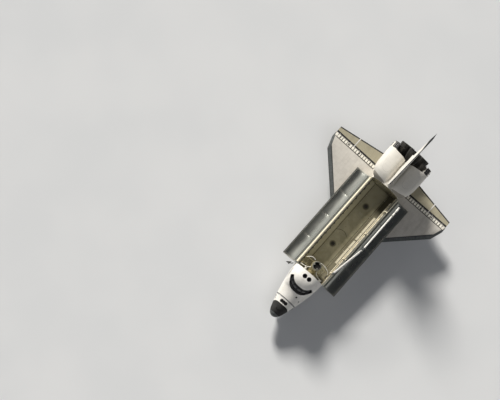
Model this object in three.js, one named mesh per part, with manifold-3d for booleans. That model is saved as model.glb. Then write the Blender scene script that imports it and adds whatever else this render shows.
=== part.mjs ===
// A winged orbiter, parked on its landing gear with its cargo bay doors open and its cargo arm raised.
// Millimetres, +Z up, +X towards the nose, +Y to port, the floor at Z = 0 under the middle of the craft.
// Places are given as the craft's drawings give them: station (inches aft of a datum ahead of the nose),
// side (inches to port of the centreline) and height (inches above the datum plane).
import * as THREE from "three";
import { mergeVertices } from "three/addons/utils/BufferGeometryUtils.js";
import Module from "manifold-3d";

const wasm = await Module();
wasm.setup();

// Driving dimensions
const IN = 25.4;
const GAP = 0.02; // clearance between fixed pieces that meet, 0.5 mm
const SEAT = 0.012; // clearance at a bearing, 0.3 mm
const CLEAR = 0.3; // room at each side of a hinge's knuckle, 7.6 mm
const PARK_PITCH = THREE.MathUtils.degToRad(3.5); // nose-down attitude on the wheels
const BAY = { fore: 582, aft: 1307, half: 93, shelf: 400, floor: 306, floorHalf: 58, chine: 350 };
const BODY = { half: 105, breadth: 400, top: 501, lip: 414, roundTop: 2.3, roundBottom: 6 };
const DOOR = {
  ...{ fore: 584, aft: 1305, hinge: 105, height: 420, thick: 4, low: 417, open: 175.5 },
  hinges: [620, 944, 1269],
  knuckle: { pin: 0.8, barrel: 1.6, room: 5 },
};
const RADIATOR = {
  ...{ stand: 1, thick: 1.5, low: 458, middle: 944.5, fore: 592, aft: 1297, crown: 0.03, pivot: 0.006 },
  hinges: [640, 896],
  knuckle: { pin: 0.4, barrel: 0.9, room: 2.2, wide: 3 },
};
const HINGE = { station: 1397, height: 286, dihedral: Math.tan(THREE.MathUtils.degToRad(3.5)) };
const FIN = { foot: 503, tip: 816, lead: 1280.8, sweep: 1, root: 268.5, slender: 0.507, cut: 1322 };
const RUDDER = { low: 549, high: 803, share: 0.615, tube: 0.9, room: 1.01, gap: 0.9, heel: 3, slope: 0.05 };
const CHUTE = { height: 537, radius: 11, fore: 1500, aft: 1560 };
const SURFACE_KNUCKLE = { pin: 0.9, barrel: 2.6, room: 20, wide: 5 };
const LUG = { half: 2.5, rise: 2.4, slack: 0.5 }; // the lugs that carry the elevons and the body flap
const FLAP = { station: 1533, height: 288, chord: 79, half: 120, nose: 8, lugs: [-84, 0, 84] };
const TAIL_SHELF = { half: 109, fore: 1490, aft: 1523.5, low: 275, high: 299 };
const MAIN_GEAR = { station: 1172, side: 136, axle: 189.3, radius: 22.25, width: 16, pitch: 18.5 };
const NOSE_GEAR = { station: 378, radius: 16, width: 8.8, pitch: 11 };
const NOSE_AXLE_RISE =
  ((MAIN_GEAR.station - NOSE_GEAR.station) * Math.sin(PARK_PITCH) - (MAIN_GEAR.radius - NOSE_GEAR.radius)) /
  Math.cos(PARK_PITCH);
const RIM = { main: 13, nose: 8, axle: 0.24 }; // rims' radii, and the axle's as a share of them
const DOCKING = { station: 648, top: 452, beams: [618, 660], beamHeight: 408 };
const ARM = {
  ...{ station: 679.5, side: 93, base: 403.5, reach: 43.2, lean: 19.48, shoulder: 5.5 },
  ...{ upper: 251, lower: 278, wrist: 68, radius: 6.4, raise: 25, tube: 2.3, elbowPin: 1.5 },
  bearings: [692, 905, 1112, 1252],
  pedestals: [800, 1010, 1195],
};
const DISH = { station: 589, side: -93, height: 427, radius: 18, ahead: 42, outboard: 51 };
const DISH_NOTCH = { fore: 583, aft: 593.5, radius: 24 }; // the corner of its door that its boom passes

// Colours, roughness and metalness as the craft shows them
const FINISH = {
  blanket: [0xe8e4dc, 0.9, 0],
  black_tile: [0x1d1d1f, 0.7, 0],
  carbon: [0x55585a, 0.6, 0.1],
  radiator: [0xb9bdbd, 0.25, 0.9],
  liner: [0x8f8a74, 0.9, 0],
  steel: [0x6d6a66, 0.45, 0.8],
  glass: [0x14171a, 0.08, 0],
  rubber: [0x161616, 0.85, 0],
  metal: [0xb4b4b0, 0.4, 0.8],
  white_metal: [0xeeece6, 0.5, 0.1],
};

const root = new THREE.Group();
const airframe = new THREE.Group();
airframe.rotation.y = PARK_PITCH;
root.add(airframe);

const at = (station, side, height) => new THREE.Vector3(-station * IN, side * IN, height * IN);

// Any closed geometry as a solid, turned face out
function solid(geometry) {
  const plain = new THREE.BufferGeometry().setAttribute("position", geometry.getAttribute("position"));
  plain.setIndex(geometry.index);
  const merged = mergeVertices(plain, 1e-3);
  const faces = new Uint32Array(merged.index.array);
  const vertProperties = merged.attributes.position.array;
  const make = (triVerts) => new wasm.Manifold(new wasm.Mesh({ numProp: 3, vertProperties, triVerts }));
  const made = make(faces);
  if (made.volume() > 0) return made;
  for (let i = 0; i < faces.length; i += 3) [faces[i + 1], faces[i + 2]] = [faces[i + 2], faces[i + 1]];
  return make(faces);
}

function geometryOf(shape) {
  const mesh = shape.getMesh();
  return new THREE.BufferGeometry()
    .setAttribute("position", new THREE.BufferAttribute(new Float32Array(mesh.vertProperties), 3))
    .setIndex(new THREE.BufferAttribute(new Uint32Array(mesh.triVerts), 1));
}

// Adds a solid, or a geometry, as one named piece
function piece(name, shape, finish, parent = airframe) {
  const geometry = shape.isBufferGeometry ? geometryOf(solid(shape)) : geometryOf(shape);
  const [color, roughness, metalness] = FINISH[finish];
  const mesh = new THREE.Mesh(geometry, new THREE.MeshStandardMaterial({ color, roughness, metalness }));
  mesh.name = name;
  parent.add(mesh);
  return mesh;
}

// The triangles of a flat ring, facing the way that the ring turns
function capFaces(ring) {
  const normal = new THREE.Vector3();
  ring.forEach((p, i) => normal.add(p.clone().cross(ring[(i + 1) % ring.length])));
  const size = normal.toArray().map(Math.abs);
  const drop = size.indexOf(Math.max(...size));
  const [u, v] = [0, 1, 2].filter((axis) => axis !== drop);
  const flat = ring.map((p) => new THREE.Vector2(p.getComponent(u), p.getComponent(v)));
  const turn = Math.sign(THREE.ShapeUtils.area(flat));
  return THREE.ShapeUtils.triangulateShape(flat, []).map(([a, b, c]) => {
    const same = Math.sign(THREE.ShapeUtils.area([flat[a], flat[b], flat[c]])) === turn;
    return same ? [a, b, c] : [a, c, b];
  });
}

// A closed solid through flat rings of the same number of points
function loft(rings) {
  const count = rings[0].length;
  const positions = rings.flat().flatMap((p) => p.toArray());
  const faces = [];
  for (let r = 0; r + 1 < rings.length; r++) {
    for (let i = 0; i < count; i++) {
      const [a, b] = [r * count + i, r * count + ((i + 1) % count)];
      faces.push(a, b, a + count, b, b + count, a + count);
    }
  }
  const last = (rings.length - 1) * count;
  capFaces(rings[0]).forEach(([a, b, c]) => faces.push(a, c, b));
  capFaces(rings.at(-1)).forEach(([a, b, c]) => faces.push(last + a, last + b, last + c));
  const geometry = new THREE.BufferGeometry();
  geometry.setAttribute("position", new THREE.Float32BufferAttribute(positions, 3));
  geometry.setIndex(faces);
  return solid(geometry);
}

// A [side, height] outline carried from one station to another
const along = (outline, fore, aft) => loft([fore, aft].map((s) => outline.map(([y, z]) => at(s, y, z))));

function box([fore, aft], [side, otherSide], [low, high]) {
  const [a, b] = [at(fore, side, low), at(aft, otherSide, high)];
  const size = b.clone().sub(a);
  const geometry = new THREE.BoxGeometry(...size.toArray().map(Math.abs));
  return solid(geometry.translate(...a.add(b).multiplyScalar(0.5).toArray()));
}

const UP = new THREE.Vector3(0, 1, 0); // the way that three.js draws a cylinder

// A round bar from point to point, in inches, with its own radius at each end
function bar(from, to, radius, endRadius = radius, sides = 16) {
  const [a, b] = [at(...from), at(...to)];
  const axis = b.clone().sub(a);
  const geometry = new THREE.CylinderGeometry(endRadius * IN, radius * IN, axis.length(), sides);
  geometry.applyQuaternion(new THREE.Quaternion().setFromUnitVectors(UP, axis.normalize()));
  return solid(geometry.translate(...a.add(b).multiplyScalar(0.5).toArray()));
}

// A turned shape: a [radius, distance] profile round the line that leaves a point in a direction
function turned(profile, from, direction, sides = 20) {
  const points = profile.map(([r, d]) => new THREE.Vector2(r * IN, d * IN));
  const geometry = new THREE.LatheGeometry(points, sides);
  const aim = new THREE.Vector3(-direction[0], direction[1], direction[2]).normalize();
  geometry.applyQuaternion(new THREE.Quaternion().setFromUnitVectors(UP, aim));
  return solid(geometry.translate(...at(...from).toArray()));
}

const rod = (from, to, radius) => bar(from, to, radius, radius, 12);

// The radius of a many-sided bore in which a pin of the same number of sides turns freely
const boreRadius = (pin, sides = 12) => (pin + SEAT / 2) / Math.cos(Math.PI / sides);

// A hinge line's knuckles: solids to add to and take from the fixed and the moving piece.
// place(distance) is the point so far along the line, in inches; spots are the knuckles' middles.
function knuckles(place, spots, { pin, barrel, room, wide = 4 }) {
  const each = (shape) => joined(...spots.map(shape));
  const [half, free] = [wide / 2, wide / 2 + CLEAR];
  return {
    fixed: each((d) => rod(place(d - half), place(d + half), barrel)),
    bores: each((d) => rod(place(d - half - 1), place(d + half + 1), boreRadius(pin))),
    notches: each((d) => rod(place(d - free), place(d + free), room)),
    pins: each((d) => {
      const width = 1.15 * barrel;
      const cheek = (sign) => bar(place(d + sign * free), place(d + sign * (free + 1.5)), width, width, 8);
      return joined(rod(place(d - free - 1), place(d + free + 1), pin), cheek(1), cheek(-1));
    }),
  };
}

const joined = (...shapes) => shapes.reduce((whole, shape) => whole.add(shape));
const bothSides = [
  ["port", 1],
  ["starboard", -1],
];

// The fuselage's round section at a station. Below its breadth height it is nearly square.
const SKIN_COLUMNS = ["station", "half", "bottom", "breadth", "top", "roundTop", "roundBottom"];
const SKIN = [
  [238, 3, 330, 333, 336, 2, 2],
  [241, 14, 321, 333, 346, 2, 2],
  [250, 27, 311, 333, 357, 2, 2],
  [270, 40, 301, 334, 369, 2, 2.2],
  [300, 51, 293, 335, 381, 2, 2.4],
  [335, 62, 288, 336, 392, 2, 2.6],
  [372, 72, 285, 338, 403, 2.05, 2.9],
  [405, 80, 283, 342, 414, 2.1, 3.2],
  [438, 87.5, 282, 350, 430, 2.2, 3.6],
  [454, 90.5, 281, 357, 448, 2.3, 3.8],
  [472, 94, 280.5, 366, 466, 2.4, 4],
  [490, 97, 280, 376, 481, 2.5, 4.4],
  [510, 100, 279.5, 386, 492, 2.45, 5],
  [535, 103.5, 279, 394, 499, 2.35, 5.5],
  [582, 105, 278, 400, 501, 2.3, 6],
  [1307, 105, 268, 400, 501, 2.3, 6],
  [1500, 104, 272, 400, 500, 2.3, 6],
].map((row) => Object.fromEntries(SKIN_COLUMNS.map((name, i) => [name, row[i]])));

function skinAt(station) {
  const next = Math.max(1, SKIN.findIndex((row) => row.station >= station));
  const [a, b] = [SKIN[next - 1], SKIN[next]];
  const share = (station - a.station) / (b.station - a.station);
  return Object.fromEntries(SKIN_COLUMNS.map((name) => [name, a[name] + share * (b[name] - a[name])]));
}

function skinRing(row, inset = 0, count = 28) {
  return Array.from({ length: count }, (_, i) => {
    const turn = (2 * Math.PI * (i + 0.5)) / count;
    const [c, s] = [Math.cos(turn), Math.sin(turn)];
    const power = 2 / (s > 0 ? row.roundTop : row.roundBottom);
    const rise = (s > 0 ? row.top - row.breadth : row.breadth - row.bottom) - inset;
    const side = (row.half - inset) * Math.sign(c) * Math.abs(c) ** power;
    return at(row.station, side, row.breadth + rise * Math.sign(s) * Math.abs(s) ** power);
  });
}

function skinBetween(fore, aft, inset = 0) {
  const inner = SKIN.filter((row) => row.station > fore + 0.5 && row.station < aft - 0.5);
  return loft([skinAt(fore), ...inner, skinAt(aft)].map((row) => skinRing(row, inset)));
}

// Height of the skin's upper half over a plan point, and the way that it faces there
function skinTop(station, side) {
  const row = skinAt(station);
  const share = (1 - Math.abs(side / row.half) ** row.roundTop) ** (1 / row.roundTop);
  return row.breadth + (row.top - row.breadth) * share;
}

function skinFrame(station, side) {
  const here = at(station, side, skinTop(station, side));
  const aft = at(station + 1, side, skinTop(station + 1, side)).sub(here).normalize();
  const outward = at(station, side + 1, skinTop(station, side + 1)).sub(here).normalize();
  const facing = aft.clone().cross(outward).normalize();
  if (facing.z < 0) facing.negate();
  const level = new THREE.Vector3(-facing.y, facing.x, 0).normalize();
  return { here, facing, level, slope: facing.clone().cross(level) };
}

// A block with cut corners, square to the skin, to cut a window or fill one
function windowBlock([station, side, width, height], depth, shrink = 0) {
  const { here, facing, level, slope } = skinFrame(station, side);
  const [w, h, corner] = [width / 2 - shrink, height / 2 - shrink, 4];
  const outline = [
    [w, -h + corner], [w, h - corner], [w - corner, h], [corner - w, h],
    [-w, h - corner], [-w, corner - h], [corner - w, -h], [w - corner, -h],
  ];
  const ring = (far) => {
    const middle = here.clone().addScaledVector(facing, far * IN);
    const point = ([u, v]) => middle.clone().addScaledVector(level, u * IN).addScaledVector(slope, v * IN);
    return outline.map(point);
  };
  return loft([-depth, 8].map(ring));
}

// Window columns: station, side, width, height
const FRONT_WINDOWS = [
  [457, 17, 27, 24],
  [467, 49, 28, 25],
  [495, 73, 28, 21],
];
const ROOF_WINDOWS = [[548, 17, 20, 20]];
const NOSE_TIP_END = 262;
const MODULE_END = 370;
const CABIN_FLOOR = 352;

function noseAndCabin() {
  piece("nose_cap", skinBetween(238, NOSE_TIP_END), "carbon");
  const module = box([NOSE_TIP_END + GAP, MODULE_END], [-90, 90], [CABIN_FLOOR, 420]);
  const front = skinBetween(NOSE_TIP_END + GAP, BAY.fore - GAP);
  piece("forward_thruster_module", front.intersect(module), "blanket");
  const moduleRoom = box([NOSE_TIP_END, MODULE_END + GAP], [-90, 90], [CABIN_FLOOR - GAP, 420]);
  const cavity = skinBetween(408, 572, 6).subtract(box([400, 580], [-120, 120], [260, CABIN_FLOOR]));
  const well = box([300, 398], [-21, 21], [250, 322]);
  const windows = [...FRONT_WINDOWS, ...ROOF_WINDOWS].flatMap(([station, side, ...size]) => [
    [station, side, ...size],
    [station, -side, ...size],
  ]);
  const shell = windows.reduce(
    (body, frame) => body.subtract(windowBlock(frame, 14)),
    front.subtract(moduleRoom).subtract(cavity).subtract(well),
  );
  // Cargo bay windows look aft through the bulkhead
  const bayWindows = [-1, 1].map((sign) => box([565, 590], [sign * 10, sign * 26], [452, 468]));
  piece("forward_fuselage", shell.subtract(joined(...bayWindows)), "blanket");
  const glassSkin = skinBetween(420, 566, 6 + GAP).subtract(skinBetween(419, 567, 7.5));
  const frontBand = box([430, 517], [-92, 92], [412, 510]);
  piece("windshield_glass", glassSkin.intersect(frontBand), "glass");
  piece("roof_window_glass", glassSkin.intersect(box([532, 565], [-34, 34], [412, 510])), "glass");
  piece("bay_window_glass", box([570.6, 572 - GAP], [-30, 30], [448, 472]), "glass");
  const seat = (side) => {
    const sides = [side - 10, side + 10];
    return joined(box([498, 518], sides, [396, 409]), box([514, 520], sides, [400, 442]));
  };
  const deck = joined(
    box([425, 571], [-80, 80], [392, 397]),
    box([436, 450], [-62, 62], [395, 419]),
    box([470, 540], [-9, 9], [395, 412]),
    box([556, 569], [-60, 60], [395, 437]),
    box([500, 506], [-52, -46], [350, 394]),
    box([500, 506], [46, 52], [350, 394]),
    seat(32),
    seat(-32),
  );
  const underFloor = box([400, 580], [-120, 120], [260, CABIN_FLOOR + GAP]);
  const insideCabin = skinBetween(409, 569.8, 8.2).subtract(underFloor);
  piece("flight_deck", deck.intersect(insideCabin), "metal");
}

// The trough that holds the cargo, as a belly and two side walls with the doors' sills
function cargoBay() {
  const { fore, aft, half, shelf, floor, floorHalf, chine } = BAY;
  const bearings = ARM.bearings.map((s) =>
    box([s - 3, s + 3], [ARM.side - 4.5, ARM.side + 4.5], [shelf - 1, ARM.base + 3.5]),
  );
  const bore = rod([640, ARM.side, ARM.base], [1290, ARM.side, ARM.base], boreRadius(ARM.tube));
  const saddles = joined(...bearings).subtract(bore);
  const hull = skinBetween(fore, aft - GAP);
  const trough = along(
    [[-half, 520], [-half, chine], [-floorHalf, floor], [floorHalf, floor], [half, chine], [half, 520]],
    fore - 1,
    aft + 1,
  );
  const split = 330;
  const belly = hull.intersect(box([fore - 1, aft + 1], [-120, 120], [250, split]));
  piece("bay_belly", belly.subtract(trough), "liner");
  for (const [name, sign] of bothSides) {
    const wall = hull.intersect(box([fore - 1, aft + 1], [sign * 1, sign * 120], [split + GAP, shelf]));
    const lip = box([fore, aft - GAP], [sign * 103.4, sign * BODY.half], [shelf - 1, BODY.lip]);
    const hinge = doorHinge((s) => [s, sign * DOOR.hinge, DOOR.height]);
    const arms = DOOR.hinges.map((s) =>
      box([s - 2, s + 2], [sign * 103.5, sign * 106.5], [BODY.lip - 1, DOOR.height]),
    );
    const sill = joined(lip, ...arms, hinge.fixed).subtract(hinge.bores);
    const plain = wall.subtract(trough).add(sill);
    piece(`bay_wall_${name}`, name === "port" ? plain.add(saddles) : plain, "liner");
  }
}

const doorHinge = (place) => knuckles(place, DOOR.hinges, DOOR.knuckle);

// Half of the doors' arch, from its sill to the crown, drawn at a distance inside the skin
function archPoint(turn, inset) {
  const power = 2 / BODY.roundTop;
  const rise = BODY.top - BODY.breadth;
  const place = (t) => [BODY.half * Math.cos(t) ** power, BODY.breadth + rise * Math.sin(t) ** power];
  const [y, z] = place(turn);
  const [y2, z2] = place(turn + 0.001);
  const size = Math.hypot(y2 - y, z2 - z);
  return [y - (inset * (z2 - z)) / size, z - (inset * -(y2 - y)) / size];
}

const turnAtHeight = (height) =>
  Math.asin(((height - BODY.breadth) / (BODY.top - BODY.breadth)) ** (BODY.roundTop / 2));

function archOutline(low, highTurn, outer, inner, steps) {
  const first = turnAtHeight(low);
  const turns = Array.from({ length: steps + 1 }, (_, i) => first + ((highTurn - first) * i) / steps);
  return [...turns.map((t) => archPoint(t, outer)), ...turns.reverse().map((t) => archPoint(t, inner))];
}

// The stalk that carries a forward radiator's knuckle on the door
function stalk(station, sign, [y, z], [footY, footZ]) {
  const [wide, tall] = [0.6, 0.3];
  const head = [[y - wide, z - tall], [y + wide, z + tall]];
  const foot = [[footY + wide, footZ + tall], [footY - wide, footZ - tall]];
  const outline = [...head, ...foot].map(([a, b]) => [sign * (a - DOOR.hinge), b - DOOR.height]);
  return along(outline, station - 1.5, station + 1.5);
}

// Each door hangs in a group on its hinge line, so that it is drawn shut and turned open
function bayDoors() {
  const crown = Math.PI / 2 - 0.012;
  const stand = DOOR.thick + RADIATOR.stand;
  const doorLine = doorHinge((s) => [s, 0, 0]);
  const { fore, aft, radius } = DISH_NOTCH;
  const notch = bar([fore, 0, 0], [aft, 0, 0], radius, radius, 32);
  for (const [name, sign] of bothSides) {
    const hinge = new THREE.Group();
    hinge.position.copy(at(0, sign * DOOR.hinge, DOOR.height));
    hinge.rotation.x = -sign * THREE.MathUtils.degToRad(DOOR.open);
    airframe.add(hinge);
    const hung = (outline, from, to) => {
      const local = outline.map(([y, z]) => [sign * (y - DOOR.hinge), z - DOOR.height]);
      return along(local, from, to);
    };
    const leaf = hung(archOutline(DOOR.low, crown, 0, DOOR.thick, 11), DOOR.fore, DOOR.aft);
    const panel = (from, to) => {
      const outline = archOutline(RADIATOR.low, crown - RADIATOR.crown, stand, stand + RADIATOR.thick, 10);
      return hung(outline, from, to);
    };
    // Two rails carry the fixed aft radiator on the door
    const rail = (turn) => {
      const [low, high] = [DOOR.thick - 0.3, stand + 0.1];
      const points = [[turn, low], [turn + 0.03, low], [turn + 0.03, high], [turn, high]];
      return hung(points.map(([t, inset]) => archPoint(t, inset)), RADIATOR.middle + 20, DOOR.aft - 20);
    };
    // The forward radiator turns on two stalks of the door
    const pivotTurn = turnAtHeight(RADIATOR.low) + RADIATOR.pivot;
    const pivot = archPoint(pivotTurn, stand + RADIATOR.thick / 2);
    const foot = archPoint(pivotTurn, DOOR.thick - 0.5);
    const pivotLine = (s) => [s, sign * (pivot[0] - DOOR.hinge), pivot[1] - DOOR.height];
    const panelLine = knuckles(pivotLine, RADIATOR.hinges, RADIATOR.knuckle);
    const stalks = RADIATOR.hinges.map((s) => stalk(s, sign, pivot, foot));
    const lugs = joined(panelLine.fixed, ...stalks).subtract(panelLine.bores);
    const door = leaf.subtract(doorLine.notches).add(doorLine.pins).add(lugs);
    piece(`bay_door_${name}`, name === "starboard" ? door.subtract(notch) : door, "blanket", hinge);
    const doorRoom = hung(archOutline(DOOR.low, crown, -1, DOOR.thick + GAP, 11), DOOR.fore, DOOR.aft);
    const fixed = joined(panel(RADIATOR.middle + 1.5, RADIATOR.aft), rail(0.82), rail(1.42));
    piece(`aft_radiator_${name}`, fixed.subtract(doorRoom), "radiator", hinge);
    const turning = panel(RADIATOR.fore, RADIATOR.middle - 1.5).subtract(panelLine.notches);
    piece(`forward_radiator_${name}`, turning.add(panelLine.pins), "radiator", hinge);
  }
}

const hingeHeight = (side) => HINGE.height + HINGE.dihedral * (side - 105);
const hingeHalf = (side) => 12.6 - 0.0158 * (side - 105);

// Wing columns: side, leading edge station, its height, nose roundness, bulge, arch of the mean line
const WING_COLUMNS = ["side", "lead", "nose", "blunt", "bulge", "arch"];
const WING = [
  [98, 545, 287, 5, 17, 12],
  [182, 1018, 292, 12, 9, 8],
  [313, 1149, 299, 11, 6, 6],
  [437, 1274, 305, 9, 3.5, 4],
  [464, 1352, 307, 5.5, 0, 1],
].map((row) => Object.fromEntries(WING_COLUMNS.map((name, i) => [name, row[i]])));
const WING_END = HINGE.station - 3;
const WING_STEPS = 9;

function wingRing(row, sign) {
  const place = (share, face) => {
    const round = row.blunt * Math.sqrt(share) * (1 - share) * 1.5;
    const half = hingeHalf(row.side) * share + round + row.bulge * Math.sin(Math.PI * share ** 1.25);
    const rise = (hingeHeight(row.side) - row.nose) * share + row.arch * Math.sin(Math.PI * share) * 0.6;
    return at(row.lead + (WING_END - row.lead) * share, sign * row.side, row.nose + rise + face * half);
  };
  const shares = Array.from({ length: WING_STEPS + 1 }, (_, i) => (i / WING_STEPS) ** 1.6);
  return [...shares.map((s) => place(s, 1)), ...shares.slice(1).reverse().map((s) => place(s, -1))];
}

// The carbon leading edge in plan: station and side along the edge, then back along its inner line
const EDGE_OUTER = [[950, 190], [1000, 230], [1240, 470], [1384, 500]];
const EDGE_INNER = [[1384, 459], [1309, 431], [1070, 198], [1036, 166], [950, 148]];

function edgeZone(sign, grow) {
  const outline = [...EDGE_OUTER, ...EDGE_INNER];
  const spread = (s) => (s < 1000 ? -grow : s > 1380 ? grow : 0);
  const inward = (i) => (i < EDGE_OUTER.length ? 0 : 1.5 * grow);
  const ring = (z) => outline.map(([s, y], i) => at(s + spread(s), sign * (y - inward(i)), z));
  return loft([ring(240), ring(360)]);
}

// Elevon columns: inner side, outer side
const ELEVONS = { inboard: [112, 312], outboard: [318.5, 461] };
const trailingStation = (side) => 1518 - 0.1773 * side;

function elevonRing(side, sign) {
  const [height, radius] = [hingeHeight(side), hingeHalf(side) - 0.8];
  const end = trailingStation(side);
  const nose = Array.from({ length: 9 }, (_, i) => {
    const turn = Math.PI / 2 + (Math.PI * i) / 8;
    return at(HINGE.station + radius * Math.cos(turn), sign * side, height + radius * Math.sin(turn));
  });
  return [...nose, at(end, sign * side, height - 0.9), at(end, sign * side, height + 0.9)];
}

// The wing, hollowed along the hinge line for the elevons' round noses
function wingBlank(sign) {
  const place = (side) => [HINGE.station, sign * side, hingeHeight(side)];
  const cove = bar(place(100), place(470), hingeHalf(100) - 0.3, hingeHalf(470) - 0.3, 24);
  return loft(WING.map((row) => wingRing(row, sign))).subtract(cove);
}

// Two lugs on the wing carry each elevon
function elevonHinge(side, otherSide, sign) {
  const span = otherSide - side;
  const place = (d) => [HINGE.station, sign * (side + d), hingeHeight(side + d)];
  const spots = [0.2, 0.8].map((share) => share * span);
  const line = knuckles(place, spots, SURFACE_KNUCKLE);
  const ears = spots.map((d) => {
    const [, y, z] = place(d);
    return box([WING_END - 20, HINGE.station], [y - LUG.half, y + LUG.half], [z - LUG.rise, z + LUG.rise]);
  });
  // The hinge line slopes, so that a slot leans over its lug as the elevon turns
  const free = LUG.half + CLEAR + LUG.slack;
  const slots = spots.map((d) => {
    const [, y, z] = place(d);
    return box([WING_END - 20, HINGE.station + 5], [y - free, y + free], [z - 20, z + 20]);
  });
  return { ...line, ears: joined(...ears), slots: joined(...slots) };
}

function wings() {
  for (const [name, sign] of bothSides) {
    const whole = wingBlank(sign);
    const well = box([1036, 1196], [sign * 110, sign * 163], [240, 307]);
    const rib = loft(
      [313.6, 317].map((side) => {
        const z = hingeHeight(side);
        return [[1370, 9.5], [1400, 10.5], [1463, 3], [1463, -3], [1400, -10.5], [1370, -9.5]].map(([s, h]) =>
          at(s, sign * side, z + h),
        );
      }),
    );
    const edge = whole.intersect(edgeZone(sign, 0));
    const elevonHinges = Object.values(ELEVONS).map((sides) => elevonHinge(...sides, sign));
    const ears = joined(...elevonHinges.flatMap(({ ears: ear, fixed }) => [ear, fixed]));
    const carried = ears.subtract(joined(...elevonHinges.map(({ bores }) => bores)));
    const besideHull = whole.subtract(skinBetween(470, 1500, -GAP));
    const body = besideHull.subtract(edgeZone(sign, GAP)).subtract(well);
    piece(`wing_${name}`, joined(body, rib, carried), "blanket");
    piece(`leading_edge_${name}`, edge, "carbon");
    Object.entries(ELEVONS).forEach(([place, sides], i) => {
      const { slots, pins } = elevonHinges[i];
      const blade = loft(sides.map((side) => elevonRing(side, sign)));
      piece(`${place}_elevon_${name}`, blade.subtract(slots).add(pins), "blanket");
    });
  }
}

// The aft fuselage with its stepped base, and the same a little larger to cut what stands on it
function aftBody(grow = 0) {
  const end = skinAt(1500);
  const body = loft([skinRing(skinAt(1307), -grow), skinRing(end, -grow)]);
  return body.add(loft([skinRing(end, -grow), skinRing({ ...end, station: 1512 + grow }, 10 - grow)]));
}

// Pod columns: station, outer side, lowest height, top height
const POD = [
  [1309, 101, 440, 495],
  [1318, 113, 424, 508],
  [1335, 127, 414, 518],
  [1362, 141, 408, 527],
  [1410, 149, 405, 533],
  [1480, 151, 405, 536],
  [1540, 150, 407, 536],
  [1566, 148, 412, 532],
];
const POD_INNER = 17;
const POD_STEP = 113; // inboard of this the pod ends early, round its engine

function podRing([station, outer, low, top], sign) {
  const [middle, half] = [(outer + POD_INNER) / 2, (outer - POD_INNER) / 2];
  const [centre, rise] = [(low + top) / 2, (top - low) / 2];
  return Array.from({ length: 20 }, (_, i) => {
    const turn = (2 * Math.PI * (i + 0.5)) / 20;
    const [c, s] = [Math.cos(turn), Math.sin(turn)];
    const bend = (v) => Math.sign(v) * Math.abs(v) ** 0.8;
    return at(station, sign * (middle + half * bend(c)), centre + rise * bend(s));
  });
}

// A bell, open at its wide end: throat radius, exit radius, length, wall
function bell(throat, exit, length, wall, shade = 1.9) {
  const steps = 5;
  const curve = (d) => throat + (exit - throat) * (1 - (1 - d / length) ** shade);
  const outer = Array.from({ length: steps + 1 }, (_, i) => (length * i) / steps).map((d) => [curve(d), d]);
  const inner = outer.slice(1).reverse().map(([r, d]) => [Math.max(r - wall, 0.5), d]);
  return [[0, 0], ...outer, ...inner, [throat * 0.35, length * 0.1], [0, length * 0.1]];
}

// The room that the pods and the fin leave round the upper engine
function upperBellRoom() {
  const up = THREE.MathUtils.degToRad(16);
  const room = [[0, 44], [34, 44], [49, 100], [53, 180], [0, 180]];
  return turned(room, [1445, 0, 443], [Math.cos(up), 0, Math.sin(up)]);
}

// Engine columns: name, side, height, station, degrees of tilt up, degrees of tilt out
const ENGINES = [
  ["upper", 0, 443, 1445, 16, 0],
  ["port_lower", 53, 342.6, 1468, 10, 3.5],
  ["starboard_lower", -53, 342.6, 1468, 10, -3.5],
];
const DOME = [[0, 8], [40, 8], [40, 30], [36, 38], [28, 45], [16, 49], [0, 49]];
const POD_BURNER = { station: 1519, side: 88, height: 492, up: 0.276, out: 0.113 };

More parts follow.
